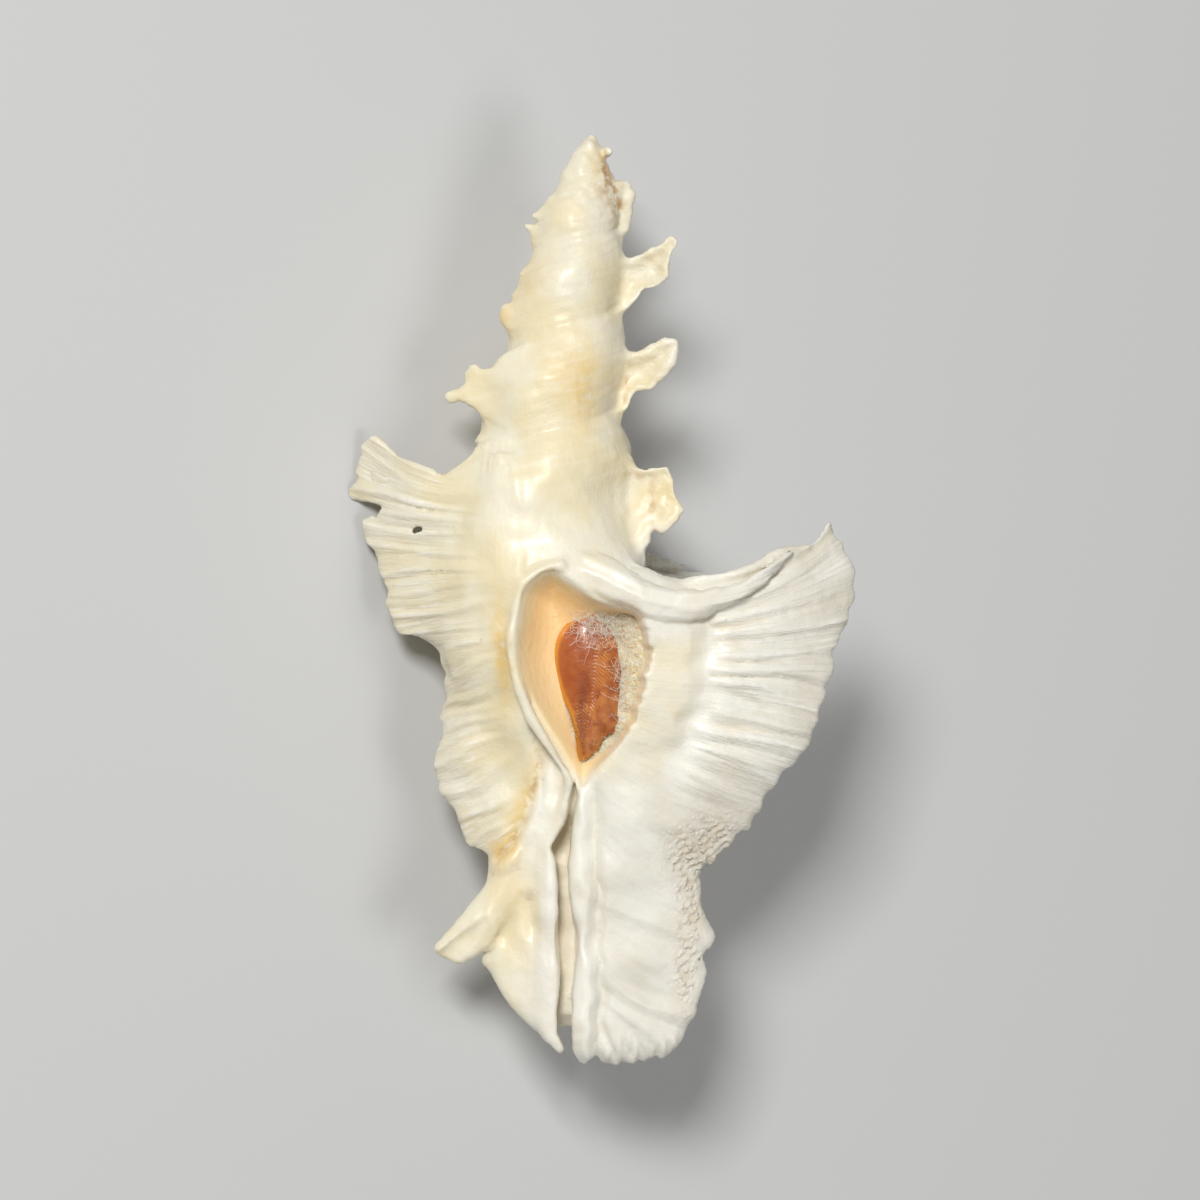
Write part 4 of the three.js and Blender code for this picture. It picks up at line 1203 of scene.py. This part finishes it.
def add_fibre(start, heading, length, lift, curl, thick):
    """One cotton fibre as a thin bent tube lying over the tuft."""
    t = np.linspace(0, 1, fibre_steps)
    angle = heading + curl * np.sin(t * 4 + curl * 5)
    path = np.zeros((fibre_steps, 3))
    path[:, 0] = start[0] + np.cumsum(np.cos(angle)) * length / fibre_steps
    path[:, 1] = start[1] + np.cumsum(np.sin(angle)) * length / fibre_steps
    path[:, 2] = start[2] + lift * np.sin(np.pi * t) + 0.05 * np.sin(t * 17 + curl)
    first = sum(len(p) for p in fibre_points)
    for j, p in enumerate(path):
        side_way = np.array([-math.sin(angle[j]), math.cos(angle[j]), 0])
        ring = [
            p + thick * (side_way * math.cos(q) + np.array([0, 0, 1]) * math.sin(q))
            for q in np.arange(fibre_sides) * 2 * math.pi / fibre_sides
        ]
        fibre_points.append(np.array(ring))
    for j in range(fibre_steps - 1):
        for q in range(fibre_sides):
            turn = (q + 1) % fibre_sides
            base = first + j * fibre_sides
            fibre_faces.append((base + q, base + turn, base + fibre_sides + turn, base + fibre_sides + q))


for _ in range(230):
    t, place = math.sqrt(seed.uniform(0.1, 0.98)), seed.integers(n)
    flat = tuft_middle + (tuft_outline[place] - tuft_middle) * t
    height = 3.3 + 1.5 * float(step(0.6, 3.6, flat[0])) + 0.7 * float(step(-2.6, -0.4, flat[1]))
    if outline_distance(lid_outline, flat[:1], flat[1:])[0] > 0.1:
        continue
    add_fibre(
        (*flat, height),
        seed.uniform(0, 6.3),
        seed.uniform(1.5, 4.0),
        seed.uniform(0.05, 0.4),
        seed.uniform(-2.0, 2.0),
        0.011,
    )
for _ in range(190):
    start = (seed.normal(0.0, 1.0), seed.normal(-1.9, 0.9), 4.35)
    add_fibre(
        start,
        seed.uniform(0, 6.3),
        seed.uniform(0.8, 2.8),
        seed.uniform(0.05, 0.5),
        seed.uniform(-2.6, 2.6),
        0.01,
    )
fibres = piece_from("cotton_fibres", np.vstack(fibre_points), np.array(fibre_faces))

wool = Finish(
    "cotton_wool",
    Subsurface_Weight=0.4,
    Subsurface_Scale=0.001,
    Subsurface_Radius=(1.0, 0.7, 0.4),
    Sheen_Weight=0.3,
)
strands = wool.node(
    "ShaderNodeTexNoise",
    {},
    {"Vector": wool.place(), "Scale": 2.6, "Detail": 5.0, "Distortion": 1.5},
    0,
)
wool.set(
    wool.surface,
    {
        "Base Color": wool.tint((0.84, 0.64, 0.36, 1), (0.97, 0.89, 0.68, 1), strands.between(0.35, 0.6)),
        "Roughness": 0.55 + 0.4 * strands,
        "Normal": wool.bumped(strands, 0.9, 0.0005),
    },
)
tuft.data.materials.append(wool.material)
strand = Finish("cotton_strand", Subsurface_Weight=0.2, Subsurface_Scale=0.0002)
strand.set(
    strand.surface,
    {
        "Base Color": strand.tint((0.86, 0.8, 0.68, 1), (0.95, 0.93, 0.88, 1), strand.noise(1.5)),
        "Roughness": 0.45 + 0.2 * strand.noise(0.4),
    },
)
fibres.data.materials.append(strand.material)
for made in (tuft, fibres):
    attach(made, "root")
    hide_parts("cotton_wool")


# ---- The table, the light and the view ----
bpy.ops.mesh.primitive_plane_add(size=4)
table = bpy.context.object
table.name = "table"
paint = bpy.data.materials.new("pale_table")
paint.use_nodes = True
paint.node_tree.nodes["Principled BSDF"].inputs["Base Color"].default_value = (0.62, 0.62, 0.61, 1)
paint.node_tree.nodes["Principled BSDF"].inputs["Roughness"].default_value = 0.7
table.data.materials.append(paint)

facing = laid_down.to_3x3()
centre = laid_down @ Vector((0, 0, 0.002))


def lamp(name, direction, distance, size, power):
    light = bpy.data.lights.new(name, "AREA")
    light.energy = power
    light.size = size
    lamp_object = bpy.data.objects.new(name, light)
    lamp_object.location = centre + facing @ Vector(direction).normalized() * distance
    away = lamp_object.location - centre
    lamp_object.rotation_mode = "QUATERNION"
    lamp_object.rotation_quaternion = away.to_track_quat("Z", "Y")
    bpy.context.scene.collection.objects.link(lamp_object)


lamp("key", (-0.15, 0.4, 1.0), 0.9, 0.22, 6.7)
lamp("fill", (0.8, -0.4, 0.8), 0.7, 0.3, 1.1)
bpy.context.scene.view_settings.view_transform = "Standard"
world = bpy.data.worlds.new("studio")
world.use_nodes = True
world.node_tree.nodes["Background"].inputs["Color"].default_value = (1, 1, 1, 1)
world.node_tree.nodes["Background"].inputs["Strength"].default_value = 0.16
bpy.context.scene.world = world

camera_data = bpy.data.cameras.new("view")
camera = bpy.data.objects.new("view", camera_data)
bpy.context.scene.collection.objects.link(camera)
distance = 0.5
seen_width = 0.1032
camera_data.sensor_width = 36
camera_data.lens = camera_data.sensor_width * distance / seen_width
camera.matrix_world = Matrix.Translation(centre + facing @ Vector((0, 0, distance))) @ facing.to_4x4()
camera_data.clip_start, camera_data.clip_end = 0.01, 10
bpy.context.scene.camera = camera

bpy.context.view_layer.update()
